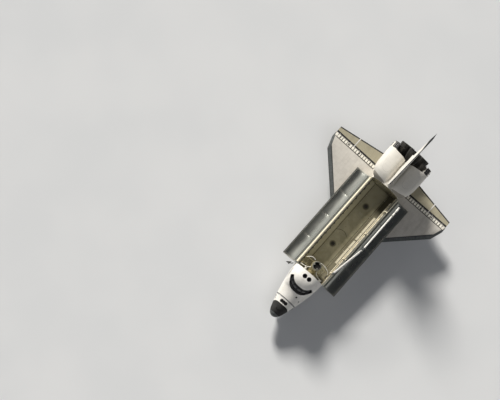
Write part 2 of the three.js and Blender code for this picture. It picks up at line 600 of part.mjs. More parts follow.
function tailEnd() {
  const { half, fore, aft, low, high } = TAIL_SHELF;
  let hull = joined(aftBody(), box([fore, aft], [-half, half], [low, high]));
  for (const [name, side, height, station, up, out] of ENGINES) {
    const [u, o] = [up, out].map(THREE.MathUtils.degToRad);
    const aim = [Math.cos(u) * Math.cos(o), Math.cos(u) * Math.sin(o), Math.sin(u)];
    const from = (distance) => [station, side, height].map((v, i) => v + distance * aim[i]);
    const nozzle = turned(bell(14, 47, 113, 3), from(44), aim);
    const shield = turned(DOME, from(10), aim);
    const wide = 40 + 2 * GAP;
    hull = hull.subtract(turned([[0, 0], [wide, 0], [wide, 100], [0, 100]], from(18 - SEAT), aim));
    piece(`${name}_engine`, joined(nozzle, shield), "steel");
  }
  const flapPlace = (side) => [FLAP.station, side, FLAP.height];
  const cove = bar(flapPlace(-130), flapPlace(130), FLAP.nose + 0.6, FLAP.nose + 0.6, 24);
  const line = knuckles(flapPlace, FLAP.lugs, SURFACE_KNUCKLE);
  const lugs = (from, to, width, rise) =>
    FLAP.lugs.map((y) => box([from, to], [y - width, y + width], [FLAP.height - rise, FLAP.height + rise]));
  const ears = lugs(1514, FLAP.station, LUG.half, LUG.rise);
  const slots = lugs(1500, FLAP.station + 5, LUG.half + CLEAR, 30);
  piece("aft_fuselage", joined(hull.subtract(cove), ...ears, line.fixed).subtract(line.bores), "blanket");
  const radius = FLAP.nose - 0.5;
  const flap = [-FLAP.half, FLAP.half].map((side) => [
    ...Array.from({ length: 9 }, (_, i) => {
      const turn = Math.PI / 2 + (Math.PI * i) / 8;
      return at(FLAP.station + radius * Math.cos(turn), side, FLAP.height + radius * Math.sin(turn));
    }),
    at(FLAP.station + FLAP.chord, side, FLAP.height - 1),
    at(FLAP.station + FLAP.chord, side, FLAP.height + 1),
  ]);
  piece("body_flap", loft(flap).subtract(joined(...slots)).add(line.pins), "black_tile");
  for (const [name, sign] of bothSides) {
    const pod = loft(POD.map((row) => podRing(row, sign)));
    const burner = [POD_BURNER.station, sign * POD_BURNER.side, POD_BURNER.height];
    const aim = [Math.cos(POD_BURNER.up), sign * Math.sin(POD_BURNER.out), Math.sin(POD_BURNER.up)];
    const seat = turned([[0, 0], [13, 0], [20, 16], [30, 60], [0, 60]], burner, aim);
    const step = loft(
      [[1507, 1519], [1600, 1600]].map(([s, outer]) => [
        at(s, 0, 380), at(outer, sign * POD_STEP, 380), at(outer, sign * POD_STEP, 560), at(s, 0, 560),
      ]),
    );
    const onHull = pod.subtract(aftBody(GAP)).subtract(seat);
    piece(`engine_pod_${name}`, onHull.subtract(upperBellRoom()).subtract(step), "blanket");
    const nozzle = turned(bell(10, 21.5, 46, 1.5, 1.6), [burner[0] + GAP, burner[1], burner[2]], aim, 16);
    piece(`pod_engine_${name}`, nozzle, "steel");
  }
}

// The fin's symmetrical section at a height: its leading station, chord and half thickness along it
function finSection(height) {
  const rise = height - FIN.foot;
  const [lead, chord] = [FIN.lead + rise * FIN.sweep, FIN.root - rise * FIN.slender];
  const thick = 0.052 * chord;
  const rounded = (share) => thick * Math.sqrt(share / 0.6) ** 0.8;
  const tapered = (share) => thick * (1 - (share - 0.6) / 0.4) + 0.4;
  const half = (share) => (share < 0.6 ? rounded(share) : tapered(share));
  return { lead, chord, half, hinge: lead + chord * RUDDER.share, deep: half(RUDDER.share) };
}

function finRing(height) {
  const { lead, chord, half } = finSection(height);
  const shares = [0.001, 0.03, 0.1, 0.22, 0.4, 0.6, 1];
  const side = (sign) => shares.map((s) => at(lead + chord * s, sign * half(s), height));
  return [...side(1), ...side(-1).reverse()];
}

const hingePoint = (height) => [finSection(height).hinge, 0, height];

const HINGE_RUN = FIN.sweep - FIN.slender * RUDDER.share; // inches aft for each inch up the rudder's hinge
const SEAL_TURNS = [35, 23, 11.5, 0].map(THREE.MathUtils.degToRad); // the halves' rounded front edge

// All that lies under the plane that crosses the rudder's hinge line squarely at a height
function underEdge(height) {
  const { hinge } = finSection(height);
  const far = 300;
  const outline = [[-far, far * HINGE_RUN], [far, -far * HINGE_RUN], [far, -400], [-far, -400]];
  return loft([-40, 40].map((y) => outline.map(([s, z]) => at(hinge + s, y, height + z))));
}

// The open space that the rudder's two halves turn in
function rudderRoom() {
  const [low, high] = [RUDDER.low - RUDDER.gap, RUDDER.high + 8];
  const heights = [low - 14, high + 14];
  const round = bar(...heights.map(hingePoint), ...heights.map((h) => finSection(h).deep + 0.35), 24);
  const open = loft(
    [low, high].map((h) => {
      const { hinge, deep } = finSection(h);
      const ahead = hinge - RUDDER.room * deep;
      return [[ahead, -30], [1800, -30], [1800, 30], [ahead, 30]].map(([s, y]) => at(s, y, h));
    }),
  );
  const room = open.add(round.intersect(box([1300, 1800], [-30, 30], [low, high])));
  return room.intersect(underEdge(RUDDER.high + RUDDER.gap));
}

// The sliver cut from under each half, so that its thick front edge clears the fin as it turns
function heelWedge() {
  const { hinge } = finSection(RUDDER.low);
  const length = RUDDER.heel / RUDDER.slope;
  const front = [-15, RUDDER.heel + 15 * HINGE_RUN];
  const outline = [[-15, -10], [length, -10], [length, 0], [0, RUDDER.heel], front];
  return loft([-20, 20].map((y) => outline.map(([s, z]) => at(hinge + s, y, RUDDER.low + z))));
}

function rudderHalf(height, sign) {
  const { hinge, lead, chord, deep } = finSection(height);
  const reach = deep - 0.3;
  const stretch = Math.hypot(1, HINGE_RUN);
  const seal = SEAL_TURNS.map((t) => [hinge - reach * Math.sin(t) * stretch, reach * Math.cos(t)]);
  const outline = [...seal, [lead + chord, 0.9], [lead + chord, 0.11], [hinge, 0.11]];
  return outline.map(([s, y]) => at(s, sign * y, height));
}

// The fairing at the fin's foot in plan, where it starts and where it has risen
const FIN_FAIRING = [
  [[1324, 0], [1345, 13], [1500, 13], [1552, 8], [1552, -8], [1500, -13], [1345, -13]],
  [[1328, 0], [1351, 9], [1500, 9], [1552, 5], [1552, -5], [1500, -9], [1351, -9]],
];

function fin() {
  const low = FIN.foot;
  const blade = loft([low, 660, FIN.tip].map(finRing));
  const fairing = loft(FIN_FAIRING.map((plan, i) => plan.map(([s, y]) => at(s, y, low - 14 + 40 * i))));
  const { height, radius, fore, aft } = CHUTE;
  const chute = bar([fore, 0, height], [aft, 0, height], radius, radius, 20);
  const blunt = box([1200, FIN.cut], [-40, 40], [480, 560]);
  const hingeRod = (reach, size) =>
    rod(hingePoint(RUDDER.low - 5 - reach), hingePoint(RUDDER.high + 4 + reach), size);
  const socket = hingeRod(0, boreRadius(RUDDER.tube));
  const whole = blade.subtract(rudderRoom()).subtract(blunt).add(fairing).add(chute).subtract(socket);
  piece("fin", whole.subtract(aftBody(GAP)).subtract(upperBellRoom()), "blanket");
  piece("rudder_hinge", hingeRod(-SEAT, RUDDER.tube), "steel");
  const groove = hingeRod(5, boreRadius(RUDDER.tube));
  for (const [name, sign] of bothSides) {
    const half = loft([RUDDER.low, RUDDER.high].map((h) => rudderHalf(h, sign)));
    const cut = half.intersect(underEdge(RUDDER.high)).subtract(heelWedge());
    piece(`rudder_${name}_half`, cut.subtract(groove), "blanket");
  }
}

// The docking port on its airlock, on two beams across the bay
function dockingSystem() {
  const { station, top, beams, beamHeight } = DOCKING;
  const up = [0, 0, 1];
  const airlock = [[0, 0], [24, 0], [31, 10], [31, 96], [24, 104], [0, 104]];
  const lock = turned(airlock, [station, 0, top - 104], up);
  const tunnel = bar([BAY.fore + GAP, 0, 384], [station, 0, 384], 25, 25, 20);
  const ends = beams.flatMap((s) => [[s, -1], [s, 1]]);
  const bridges = beams.map((s) => bar([s, -91, beamHeight], [s, 91, beamHeight], 3, 3, 10));
  const feet = ends.map(([s, y]) =>
    box([s - 4, s + 4], [y * 93.3, y * 99], [BAY.shelf + GAP, beamHeight + 4]),
  );
  const pins = ends.map(([s, y]) => bar([s, y * 85, beamHeight], [s, y * 96, beamHeight], 2, 2, 10));
  piece("docking_airlock", joined(lock, tunnel, ...bridges, ...feet, ...pins), "liner");
  const flange = [[0, 0], [29, 0], [29, 7], [26, 9], [26, 15], [22, 15], [22, 6], [0, 6]];
  piece("docking_collar", turned(flange, [station, 0, top + GAP], up), "metal");
  const band = [[22.5, 0], [27, 0], [27, 3], [22.5, 3], [22.5, 0]];
  const ring = turned(band, [station, 0, top + 15 + 1.5 * GAP], up);
  const petals = [0, 1, 2].map((i) => {
    const turn = (2 * Math.PI * i) / 3 + 0.4;
    const [c, s] = [Math.cos(turn), Math.sin(turn)];
    const place = (r, z) => [station + r * c, r * s, top + z];
    return bar(place(24.5, 19.4), place(17, 28), 3.4, 2, 8);
  });
  piece("docking_ring", joined(ring, ...petals), "metal");
}

// The antenna on its boom, swung out ahead of the starboard door
function dishAntenna() {
  const { station, side, height, radius, ahead, outboard } = DISH;
  const head = [station - ahead, side - outboard, height + 15];
  const out = (share, rise) => [station - ahead * share, side - outboard * share, height + rise];
  const elbow = [station - 2, side - 24, height + 6];
  const bowl = turned(
    [[0, 0], [4, 0], [4, 3], [10, 4], [radius, 9], [radius, 9.8], [10, 5], [0, 3.6]],
    head,
    [outboard, -ahead, 0],
    20,
  );
  const boom = joined(
    bar([station, side, height - 4], [station, side, height + 6], 3.4, 3.4, 12),
    bar(out(0, 3), elbow, 2.6, 2.6, 12),
    bar(elbow, out(0.66, 8), 2.6, 2.6, 12),
    bar(out(0.66, 3), out(0.66, 18), 4.4, 4.4, 12),
    bar(out(0.6, 15), [head[0] + 1, head[1] - 1, head[2]], 3, 3, 12),
  );
  piece("dish_antenna", boom.add(bowl), "white_metal");
  const foot = joined(
    box([584, 594], [side + 3, side - 6], [BAY.shelf + GAP, 406]),
    bar([station, side, 403], [station, side, height - 4 - GAP], 3, 3, 12),
  );
  piece("dish_antenna_foot", foot, "metal");
}

// The cargo arm: a tube of cradles on the port sill, which leans out, and the jointed arm on it
const HAND = [
  ...[[0, 0], [6.6, 0], [6.6, 18], [5, 20], [5, 30], [6.8, 33]],
  ...[[6.8, ARM.wrist - 3], [7.4, ARM.wrist], [5.6, ARM.wrist], [5.2, ARM.wrist - 12], [0, ARM.wrist - 12]],
];

function cargoArm() {
  const { station, side, base, reach, lean, upper, lower, radius, raise, elbowPin } = ARM;
  const cradle = new THREE.Group();
  cradle.position.copy(at(0, side, base));
  cradle.rotation.x = -THREE.MathUtils.degToRad(lean);
  airframe.add(cradle);
  const tube = rod([671, 0, 0], [1262, 0, 0], ARM.tube);
  const under = reach - radius; // the lowest line of the stowed arm's tube
  const pedestals = ARM.pedestals.flatMap((s) => [
    box([s - 5, s + 5], [-2.5, 2.5], [-1, under - 1]),
    box([s - 5, s + 5], [-6, 6], [under - 4, under - 0.3]),
  ]);
  const post = bar([station, 0, 0], [station, 0, under - 1.2 - SEAT], 4, 4, 14);
  piece("arm_cradles", joined(tube, post, ...pedestals), "white_metal", cradle);
  const shoulder = new THREE.Group();
  shoulder.position.copy(at(station, 0, reach));
  shoulder.rotation.y = THREE.MathUtils.degToRad(raise);
  cradle.add(shoulder);
  const knuckle = bar([0, -ARM.shoulder, 0], [0, ARM.shoulder, 0], radius + 1.2, radius + 1.2, 16);
  const upperTube = bar([0, 0, 0], [upper - 8.4, 0, 0], radius, radius, 16);
  const fork = [-1, 1].map((y) => box([upper - 10, upper + 3], [y * 4.4, y * 7.2], [-3.4, 3.4]));
  const pin = rod([upper, -6, 0], [upper, 6, 0], elbowPin);
  piece("arm_upper", joined(knuckle, upperTube, ...fork, pin), "white_metal", shoulder);
  const elbow = new THREE.Group();
  elbow.position.copy(at(upper, 0, 0));
  elbow.rotation.y = -THREE.MathUtils.degToRad(raise);
  shoulder.add(elbow);
  const lowerTube = bar([6, 0, 0], [lower, 0, 0], radius - 0.6, radius - 0.6, 16);
  const hub = bar([0, -4.2, 0], [0, 4.2, 0], 5.6, 5.6, 16);
  const neck = box([0, 10], [-4, 4], [-4.4, 4.4]);
  const bore = rod([0, -9, 0], [0, 9, 0], boreRadius(elbowPin));
  piece("arm_lower", joined(hub, neck, lowerTube).subtract(bore), "white_metal", elbow);
  piece("arm_hand", turned(HAND, [lower + GAP, 0, 0], [1, 0, 0], 20), "white_metal", elbow);
}

// A pair of wheels on one axle, turned about a line from side to side
function wheelPair({ station, radius, width, pitch }, side, axle, rim) {
  const half = width / 2;
  const face = [[0, 0.6], [rim - 1, 0.6], [rim + 0.5, 0.88], [radius * 0.9, 1], [radius, 0.45]];
  const tyre = [...face.map(([r, w]) => [r, -w * half]), ...face.map(([r, w]) => [r, w * half]).reverse()];
  const wheels = [-pitch, pitch].map((offset) => turned(tyre, [station, side + offset, axle], [0, 1, 0], 20));
  const [reach, size] = [pitch + half + 1, rim * RIM.axle];
  const shaft = bar([station, side - reach, axle], [station, side + reach, axle], size, size, 24);
  return joined(...wheels, shaft);
}

const axleBore = (rim) => boreRadius(rim * RIM.axle, 24);

function noseGear() {
  const { station } = NOSE_GEAR;
  const axle = MAIN_GEAR.axle + NOSE_AXLE_RISE;
  const size = axleBore(RIM.nose);
  const bore = bar([station, -9, axle], [station, 9, axle], size, size, 24);
  const upper = joined(
    bar([station - 4, 0, 317], [station - 1.2, 0, 262], 5.4, 5.4, 16),
    bar([station - 4, SEAT - 21, 314], [station - 4, 21 - SEAT, 314], 3, 3, 12),
    bar([station - 2, 0, 272], [station - 44, 0, 318], 2.4, 2.4, 10),
  );
  piece("nose_leg", upper, "metal");
  const piston = joined(
    bar([station - 1.2, 0, 261.95], [station, 0, axle], 3.4, 3.4, 16),
    bar([station, -5.2, axle], [station, 5.2, axle], 4.6, 4.6, 16),
    box([station + 3, station + 6], [-2, 2], [axle - 2, 256]),
  );
  piece("nose_leg_slider", piston.subtract(bore), "metal");
  piece("nose_wheels", wheelPair(NOSE_GEAR, 0, axle, RIM.nose), "rubber");
  const door = [[20.8, 284.4], [22.2, 284.4], [25.5, 264], [24, 264]];
  for (const [name, sign] of bothSides) {
    const lid = along(door.map(([y, z]) => [sign * y, z]), 301, 397);
    piece(`nose_gear_door_${name}`, lid.subtract(skinBetween(280, 420, -GAP)), "black_tile");
  }
}

function mainGear() {
  const { station, side, axle } = MAIN_GEAR;
  const door = [[163.3, 284], [165.3, 284], [169.5, 222], [167.5, 222]];
  for (const [name, sign] of bothSides) {
    const y = sign * side;
    const leg = joined(
      bar([station - 2, y, 303], [station - 1, y, 232], 7.2, 7.2, 16),
      bar([station - 1, y, 233], [station, y, axle], 5, 5, 16),
      bar([station - 2, sign * (110 + SEAT), 298], [station - 2, sign * (163 - SEAT), 298], 4, 4, 12),
      bar([station, y - 8.5, axle], [station, y + 8.5, axle], 6.4, 6.4, 16),
      bar([station - 3, y, 246], [station - 66, y, 304], 3, 3, 10),
    );
    const size = axleBore(RIM.main);
    const bore = bar([station, y - 12, axle], [station, y + 12, axle], size, size, 24);
    piece(`main_leg_${name}`, leg.subtract(bore), "metal");
    piece(`main_wheels_${name}`, wheelPair(MAIN_GEAR, y, axle, RIM.main), "rubber");
    const lid = along(door.map(([a, z]) => [sign * a, z]), 1038, 1194);
    piece(`main_gear_door_${name}`, lid.subtract(wingBlank(sign).translate(0, 0, -GAP * IN)), "black_tile");
  }
}

noseAndCabin();
cargoBay();
bayDoors();
wings();
tailEnd();
fin();
dockingSystem();
dishAntenna();
cargoArm();
noseGear();
mainGear();

// Stands the craft on its wheels, with the middle of its length over the origin
root.updateMatrixWorld(true);
const mainAxle = at(MAIN_GEAR.station, 0, MAIN_GEAR.axle).applyMatrix4(airframe.matrixWorld);
const spread = new THREE.Box3().setFromObject(root, true);
airframe.position.set(-(spread.min.x + spread.max.x) / 2, 0, MAIN_GEAR.radius * IN - mainAxle.z);

export default root;
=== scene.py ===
# The looks of a winged orbiter that stands on its wheels with its cargo bay open.
# Craft places are in inches: station aft of a datum ahead of the nose, side to port, height up.
import functools
import math

import bmesh
import bpy
from mathutils import Matrix, Vector


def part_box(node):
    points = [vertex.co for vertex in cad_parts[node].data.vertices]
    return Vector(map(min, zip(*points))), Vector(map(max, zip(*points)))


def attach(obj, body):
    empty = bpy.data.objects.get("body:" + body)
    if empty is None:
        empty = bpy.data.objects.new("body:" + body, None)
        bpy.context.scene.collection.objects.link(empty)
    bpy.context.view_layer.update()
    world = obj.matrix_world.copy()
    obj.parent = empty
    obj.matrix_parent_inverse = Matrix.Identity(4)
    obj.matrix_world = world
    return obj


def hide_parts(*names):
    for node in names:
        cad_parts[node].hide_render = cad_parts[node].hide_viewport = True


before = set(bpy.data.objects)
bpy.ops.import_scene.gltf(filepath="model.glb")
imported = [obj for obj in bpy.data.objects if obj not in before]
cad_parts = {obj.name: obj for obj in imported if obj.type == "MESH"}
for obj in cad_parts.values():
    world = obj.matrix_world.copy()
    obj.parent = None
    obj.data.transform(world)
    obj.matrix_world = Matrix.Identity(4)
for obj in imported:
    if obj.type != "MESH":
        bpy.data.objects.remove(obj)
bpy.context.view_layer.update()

IN = 0.0254
PITCH = math.radians(3.5)
SIDES = (("port", 1), ("starboard", -1))
FORE, AFT, TO_PORT, UP = (Vector(way) for way in ((1, 0, 0), (-1, 0, 0), (0, 1, 0), (0, 0, 1)))
MAIN_AXLE = (1172, 136, 189.3)


def spot(station, side, height):
    """A craft place as a right-handed point in inches, with x towards the nose."""
    return Vector((-station, side, height))


def craft_matrix():
    """Where the craft stands, found from the main wheels' axle."""
    low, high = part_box("main_wheels_port")
    turn = Matrix.Rotation(PITCH, 4, "Y")
    axle = (Vector(low) + Vector(high)) / 2
    return Matrix.Translation(axle - turn @ (spot(*MAIN_AXLE) * IN)) @ turn


CRAFT = craft_matrix()


def moved(place):
    return Matrix.Translation(place * IN)


def turned(degrees, axis):
    return Matrix.Rotation(math.radians(degrees), 4, axis)


def span(middle, half):
    """The two ends of a stretch about its middle."""
    return middle - half, middle + half


def steps(start, end, count):
    return [start + (end - start) * i / count for i in range(count + 1)]


def power(value, exponent):
    return math.copysign(abs(value) ** exponent, value)


# Paint: procedural materials written as arithmetic on craft places

def linear(code):
    """A colour written as six hexadecimal digits, as linear light."""
    parts = [int(code[i:i + 2], 16) / 255 for i in (0, 2, 4)]
    return tuple(c / 12.92 if c <= 0.04045 else ((c + 0.055) / 1.055) ** 2.4 for c in parts) + (1.0,)


def node(tree, kind, feed=None, **settings):
    """A new shader node, with a socket that feeds its first input."""
    made = tree.nodes.new("ShaderNode" + kind)
    for name, value in settings.items():
        setattr(made, name, value)
    if feed is not None:
        tree.links.new(feed, made.inputs[0])
    return made


class Field:
    """A number that varies over a surface, made of shader nodes."""

    def __init__(self, tree, socket):
        self.tree = tree
        self.socket = socket

    def math(self, kind, *others):
        made = node(self.tree, "Math", self.socket, operation=kind)
        for slot, value in zip(made.inputs[1:], others):
            if isinstance(value, Field):
                self.tree.links.new(value.socket, slot)
            else:
                slot.default_value = value
        return Field(self.tree, made.outputs[0])

    def __add__(self, other):
        return self.math("ADD", other)

    def __sub__(self, other):
        return self.math("SUBTRACT", other)

    def __mul__(self, other):
        return self.math("MULTIPLY", other)

    def __abs__(self):
        return self.math("ABSOLUTE")

    def over(self, limit):
        return self.math("GREATER_THAN", limit)

    def under(self, limit):
        return self.math("LESS_THAN", limit)

    def between(self, low, high):
        return self.over(low) * self.under(high)

    def either(self, other):
        return self.math("MAXIMUM", other)

    def outside(self):
        return self.math("MULTIPLY_ADD", -1, 1)

    def line(self, place, width):
        return abs(self - place).under(width / 2)

    def waves(self, height):
        return self.math("PINGPONG", height)

    def lines(self, pitch, width):
        """1 on narrow lines at each multiple of the pitch."""
        return self.waves(pitch / 2).under(width / 2)

    def from_squared(self, place):
        return (self - place).math("POWER", 2.0)

    def ramp(self, low, high, start=0.0, end=1.0):
        made = node(self.tree, "MapRange", self.socket, interpolation_type="SMOOTHSTEP")
        for name, value in (("From Min", low), ("From Max", high), ("To Min", start), ("To Max", end)):
            made.inputs[name].default_value = value
        return Field(self.tree, made.outputs["Result"])


# Metals and hard paints: colour, roughness, metallic share and grime
METALS = {
    "pale_fitting": ("cfcabb", 0.5, 0.2, "9a9587"),
    "cream_cover": ("efe6cc", 0.6, 0.05, "d8ceb2"),
    "fitting_steel": ("57534a", 0.5, 0.6, "3a3936"),
    # Pale tray covers, a painted light on the port wall
    "sunlit_tray_cover": ("cbc3ab", 0.6, 0.05, "a8a08a"),
    # Dark olive for the sill plates: painted shade on the sills
    "shaded_sill_plate": ("6c6753", 0.6, 0.2, "4b4738"),
    "door_lining": ("8b8d86", 0.42, 0.75, "6c6e68"),
    "door_rim": ("b9b7ae", 0.45, 0.4, "8a877d"),
    "seal_dark": ("332f27", 0.7, 0.1, "1e1c18"),
    "hinge_panel": ("ece8dc", 0.6, 0.1, "cdc8ba"),
    "gear_steel": ("a9a9a4", 0.4, 0.85, "3a3936"),
    "dock_metal": ("96958b", 0.4, 0.8, "3a3936"),
    "hose_white": ("f6f3ea", 0.6, 0.0, "d9d4c6"),
    "box_white": ("e9e6dc", 0.55, 0.05, "c9c4b8"),
    "joint_grey": ("8d8f8e", 0.45, 0.6, "5c5d5c"),
    "dish_back": ("55544f", 0.55, 0.3, "3d3c38"),
    "rim_metal": ("a7a8a4", 0.42, 0.8, "3a3936"),
    "oleo_chrome": ("d3d5d4", 0.18, 1.0, "a8aaa9"),
    "rib_green": ("b9b79d", 0.6, 0.3, "8b8972"),
    "cabin_grey": ("6f7377", 0.6, 0.1, "4a4d50"),
}
# Quilted cloths over equipment: colour, dark and light patches
CLOTHS = {
    "gold_cloth": ("8f8460", "6f6546", "a69b74"),
    "truss_cloth": ("857d60", "665f47", "989073"),
    "seat_cloth": ("3d4a63", "2b3346", "55637f"),
}
# Other patchy paints: colour, roughness, metallic share, patches, roughness noise and relief noise
PATCHY = {
    # Reinforced carbon, grey with a faint sheen
    "carbon": ("5d605f", 0.5, 0, ((22, 4, 0.4, 0.7, 0.6, "454847"), (5, 5, 0.55, 0.75, 0.5, "7a7c79")),
               (7, 3, 0.4, 0.65), (1.2, 4, 0.05)),
    # Engine bells, brown-grey steel
    "nozzle_steel": ("45433f", 0.45, 0.65,
                     ((26, 4, 0.4, 0.7, 0.6, "2a2927"), (6, 5, 0.55, 0.75, 0.5, "6c6a66")),
                     (5, 3, 0.35, 0.6), (1.5, 4, 0.08)),
    "nozzle_soot": ("1a1817", 0.75, 0.2, ((12, 4, 0.45, 0.7, 0.6, "2b2826"),), None, (2, 4, 0.05)),
    # Heat-shield cloth round the engines
    "dome_cloth": ("6f6a61", 0.85, 0, ((16, 4, 0.4, 0.7, 0.7, "4b4741"), (4, 5, 0.5, 0.75, 0.4, "8d877c")),
                   None, (3, 4, 0.4)),
    "tyre_rubber": ("17171a", 0.82, 0,
                    ((6, 4, 0.45, 0.75, 0.5, "2a2a2b"), (14, 5, 0.55, 0.75, 0.35, "474542", (1, 1, 0.6))),
                    None, (0.8, 4, 0.03)),
}


class Paint:
    """A material whose colour, roughness and relief are built from Fields."""

    def __init__(self, name, color, roughness, metallic=0.0, row=False):
        """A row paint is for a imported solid, whose own frame is the frame's and not the craft's."""
        self.material = bpy.data.materials.new(name + ("_row" if row else ""))
        self.material.use_nodes = True
        self.tree = self.material.node_tree
        self.shader = self.tree.nodes["Principled BSDF"]
        self.set("Base Color", linear(color))
        self.set("Roughness", roughness)
        self.set("Metallic", metallic)
        self.color = None
        mapping = node(self.tree, "Mapping", node(self.tree, "TexCoord").outputs["Object"])
        mapping.inputs["Scale"].default_value = (1 / IN,) * 3
        if row:
            mapping.inputs["Rotation"].default_value = (0, -PITCH, 0)
            mapping.inputs["Location"].default_value = CRAFT.inverted().translation / IN
        self.place = mapping.outputs["Vector"]
        x, self.side, self.height = self.parts(self.place)
        self.station = x * -1
        self.out = abs(self.side)

    def parts(self, socket):
        """A vector socket as three Fields."""
        split = node(self.tree, "SeparateXYZ", socket)
        return [Field(self.tree, split.outputs[axis]) for axis in "XYZ"]

    def normal(self):
        return self.parts(node(self.tree, "TexCoord").outputs["Normal"])

    def set(self, name, value):
        self.shader.inputs[name].default_value = value

    def scaled(self, sizes):
        made = node(self.tree, "VectorMath", self.place, operation="MULTIPLY")
        made.inputs[1].default_value = [1 / s for s in sizes]
        return made.outputs[0]

    def noise(self, size, detail=3.0, stretch=(1, 1, 1)):
        made = node(self.tree, "TexNoise", self.scaled([size * s for s in stretch]))
        made.inputs["Scale"].default_value = 1.0
        made.inputs["Detail"].default_value = detail
        return Field(self.tree, made.outputs["Fac"])

    def cells(self, sizes=(6, 6, 6)):
        """A random number for each box of a grid with these sides, in inches."""
        whole = node(self.tree, "VectorMath", self.scaled(sizes), operation="FLOOR")
        return Field(self.tree, node(self.tree, "TexWhiteNoise", whole.outputs[0]).outputs["Value"])

    def mix(self, where, color):
        """Lays another colour over the paint where a Field is 1."""
        base = self.shader.inputs["Base Color"]
        self.color = two_colors(self.tree, where, self.color or tuple(base.default_value), linear(color))
        self.tree.links.new(self.color, base)

    def stain(self, size, detail, low, high, amount, color, stretch=(1, 1, 1)):
        """Noise patches of another colour."""
        self.mix(self.noise(size, detail, stretch).ramp(low, high, 0, amount), color)

    def weather(self, dark, light, amount=0.35):
        """Broad stains along the airflow and fine mottling."""
        self.stain(34, 4, 0.5, 0.72, amount, dark, (3.2, 1, 1))
        self.stain(9, 5, 0.52, 0.7, amount, light)

    def tiles(self, where, color, odd, amount=0.5, sizes=(6, 6, 6)):
        """Black tiles where a Field is 1, some of them of an odd colour."""
        self.mix(where, color)
        self.mix(where * self.cells(sizes).ramp(0.2, 1, 0, amount), odd)

    def joints(self, one, other, share, color, depth):
        """Sunken lines where either Field is 1."""
        both_ways = one.either(other)
        self.mix(both_ways * share, color)
        self.relief(both_ways.outside(), depth)

    def gloss(self, size, detail, low, high):
        self.vary("Roughness", self.noise(size, detail).ramp(0.3, 0.7, low, high))

    def vary(self, name, field):
        self.tree.links.new(field.socket, self.shader.inputs[name])

    def relief(self, field, inches):
        """Raises the surface by so many inches where a Field is 1."""
        made = node(self.tree, "Bump")
        made.inputs["Distance"].default_value = inches * IN
        self.tree.links.new(field.socket, made.inputs["Height"])
        before = self.shader.inputs["Normal"].links
        if before:
            self.tree.links.new(before[0].from_socket, made.inputs["Normal"])
        self.tree.links.new(made.outputs["Normal"], self.shader.inputs["Normal"])


def two_colors(tree, share, first, second):
    """A blend of two colours or sockets by a Field."""
    blend = node(tree, "Mix", share.socket, data_type="RGBA")
    for slot, color in ((blend.inputs[6], first), (blend.inputs[7], second)):
        if isinstance(color, tuple):
            slot.default_value = color
        else:
            tree.links.new(color, slot)
    return blend.outputs[2]


def patchy(name, color, roughness, metallic, patches, gloss, bump, row=False):
    """A paint of noise patches with noise in its gloss and relief."""
    paint = Paint(name, color, roughness, metallic, row)
    for patch in patches:
        paint.stain(*patch)
    if gloss:
        paint.gloss(*gloss)
    size, detail, inches = bump
    paint.relief(paint.noise(size, detail), inches)
    return paint


@functools.cache
def stock(name, row=False):
    """The material of a row of METALS, CLOTHS or PATCHY."""
    if name in METALS:
        color, rough, metallic, grime = METALS[name]
        return patchy(name, color, rough, metallic, [(12, 4, 0.48, 0.7, 0.6, grime)],
                      (3, 5, rough - 0.12, rough + 0.18), (0.75, 5, 0.02), row).material
    if name in PATCHY:
        return patchy(name, *PATCHY[name]).material
    color, dark, light = CLOTHS[name]
    paint = patchy(name, color, 0.85, 0, [(10, 4, 0.4, 0.7, 0.6, dark), (3.5, 5, 0.52, 0.75, 0.5, light)],
                   None, (2.4, 4, 0.5))
    paint.relief(paint.station.lines(6, 0.4).either(paint.height.lines(6, 0.4)).outside(), 0.15)
    return paint.material


@functools.cache
def white():
    """Quilted white blankets and white tiles."""
    paint = Paint("white_blanket", "dad6ce", 0.78)
    paint.weather("c1bcb2", "e4e2dd")
    paint.mix(paint.cells((29, 24, 24)).ramp(0.35, 1, 0, 0.22), "bfbab0")
    paint.relief(paint.station.waves(0.55) * paint.height.waves(0.55), 0.25)
    paint.joints(paint.station.lines(29, 0.5), paint.height.lines(24, 0.5), 0.55, "8d8980", 0.12)
    return paint.material


@functools.cache
def black(row=False):
    """Hard black tiles, each a little different."""
    paint = Paint("black_tile", "1d1d1f", 0.55, row=row)
    paint.mix(paint.cells().ramp(0.2, 1, 0, 0.5), "2e2e31")
    paint.mix(paint.cells().over(0.988), "424244")
    paint.joints(paint.station.lines(6, 0.25), paint.side.lines(6, 0.25), 0.8, "0b0b0c", 0.1)
    paint.stain(60, 4, 0.5, 0.75, 0.35, "3d3b38", (4, 1, 1))
    paint.gloss(11, 3, 0.45, 0.75)
    return paint.material


# Shapes: closed forms built point by point, in inches

def square_to(axis):
    """Two directions square to an axis."""
    across = axis.cross(UP if abs(axis.z) < 0.9 else FORE).normalized()
    return across, axis.cross(across)


def circle(centre, across, up, radius, count, start=0.0):
    turns = [2 * math.pi * (k + start) / count for k in range(count)]
    return [centre + (across * math.cos(t) + up * math.sin(t)) * radius for t in turns]


def drum(radius, top, bottom=0, far=None):
    """The profile of a drum for lathe, with its far radius if that differs."""
    return [[0, bottom], [radius, bottom], [radius if far is None else far, top], [0, top]]


def pipe(inner, outer, top, bottom=0):
    """The profile of a short pipe for lathe."""
    return [[inner, bottom], [outer, bottom], [outer, top], [inner, top]]


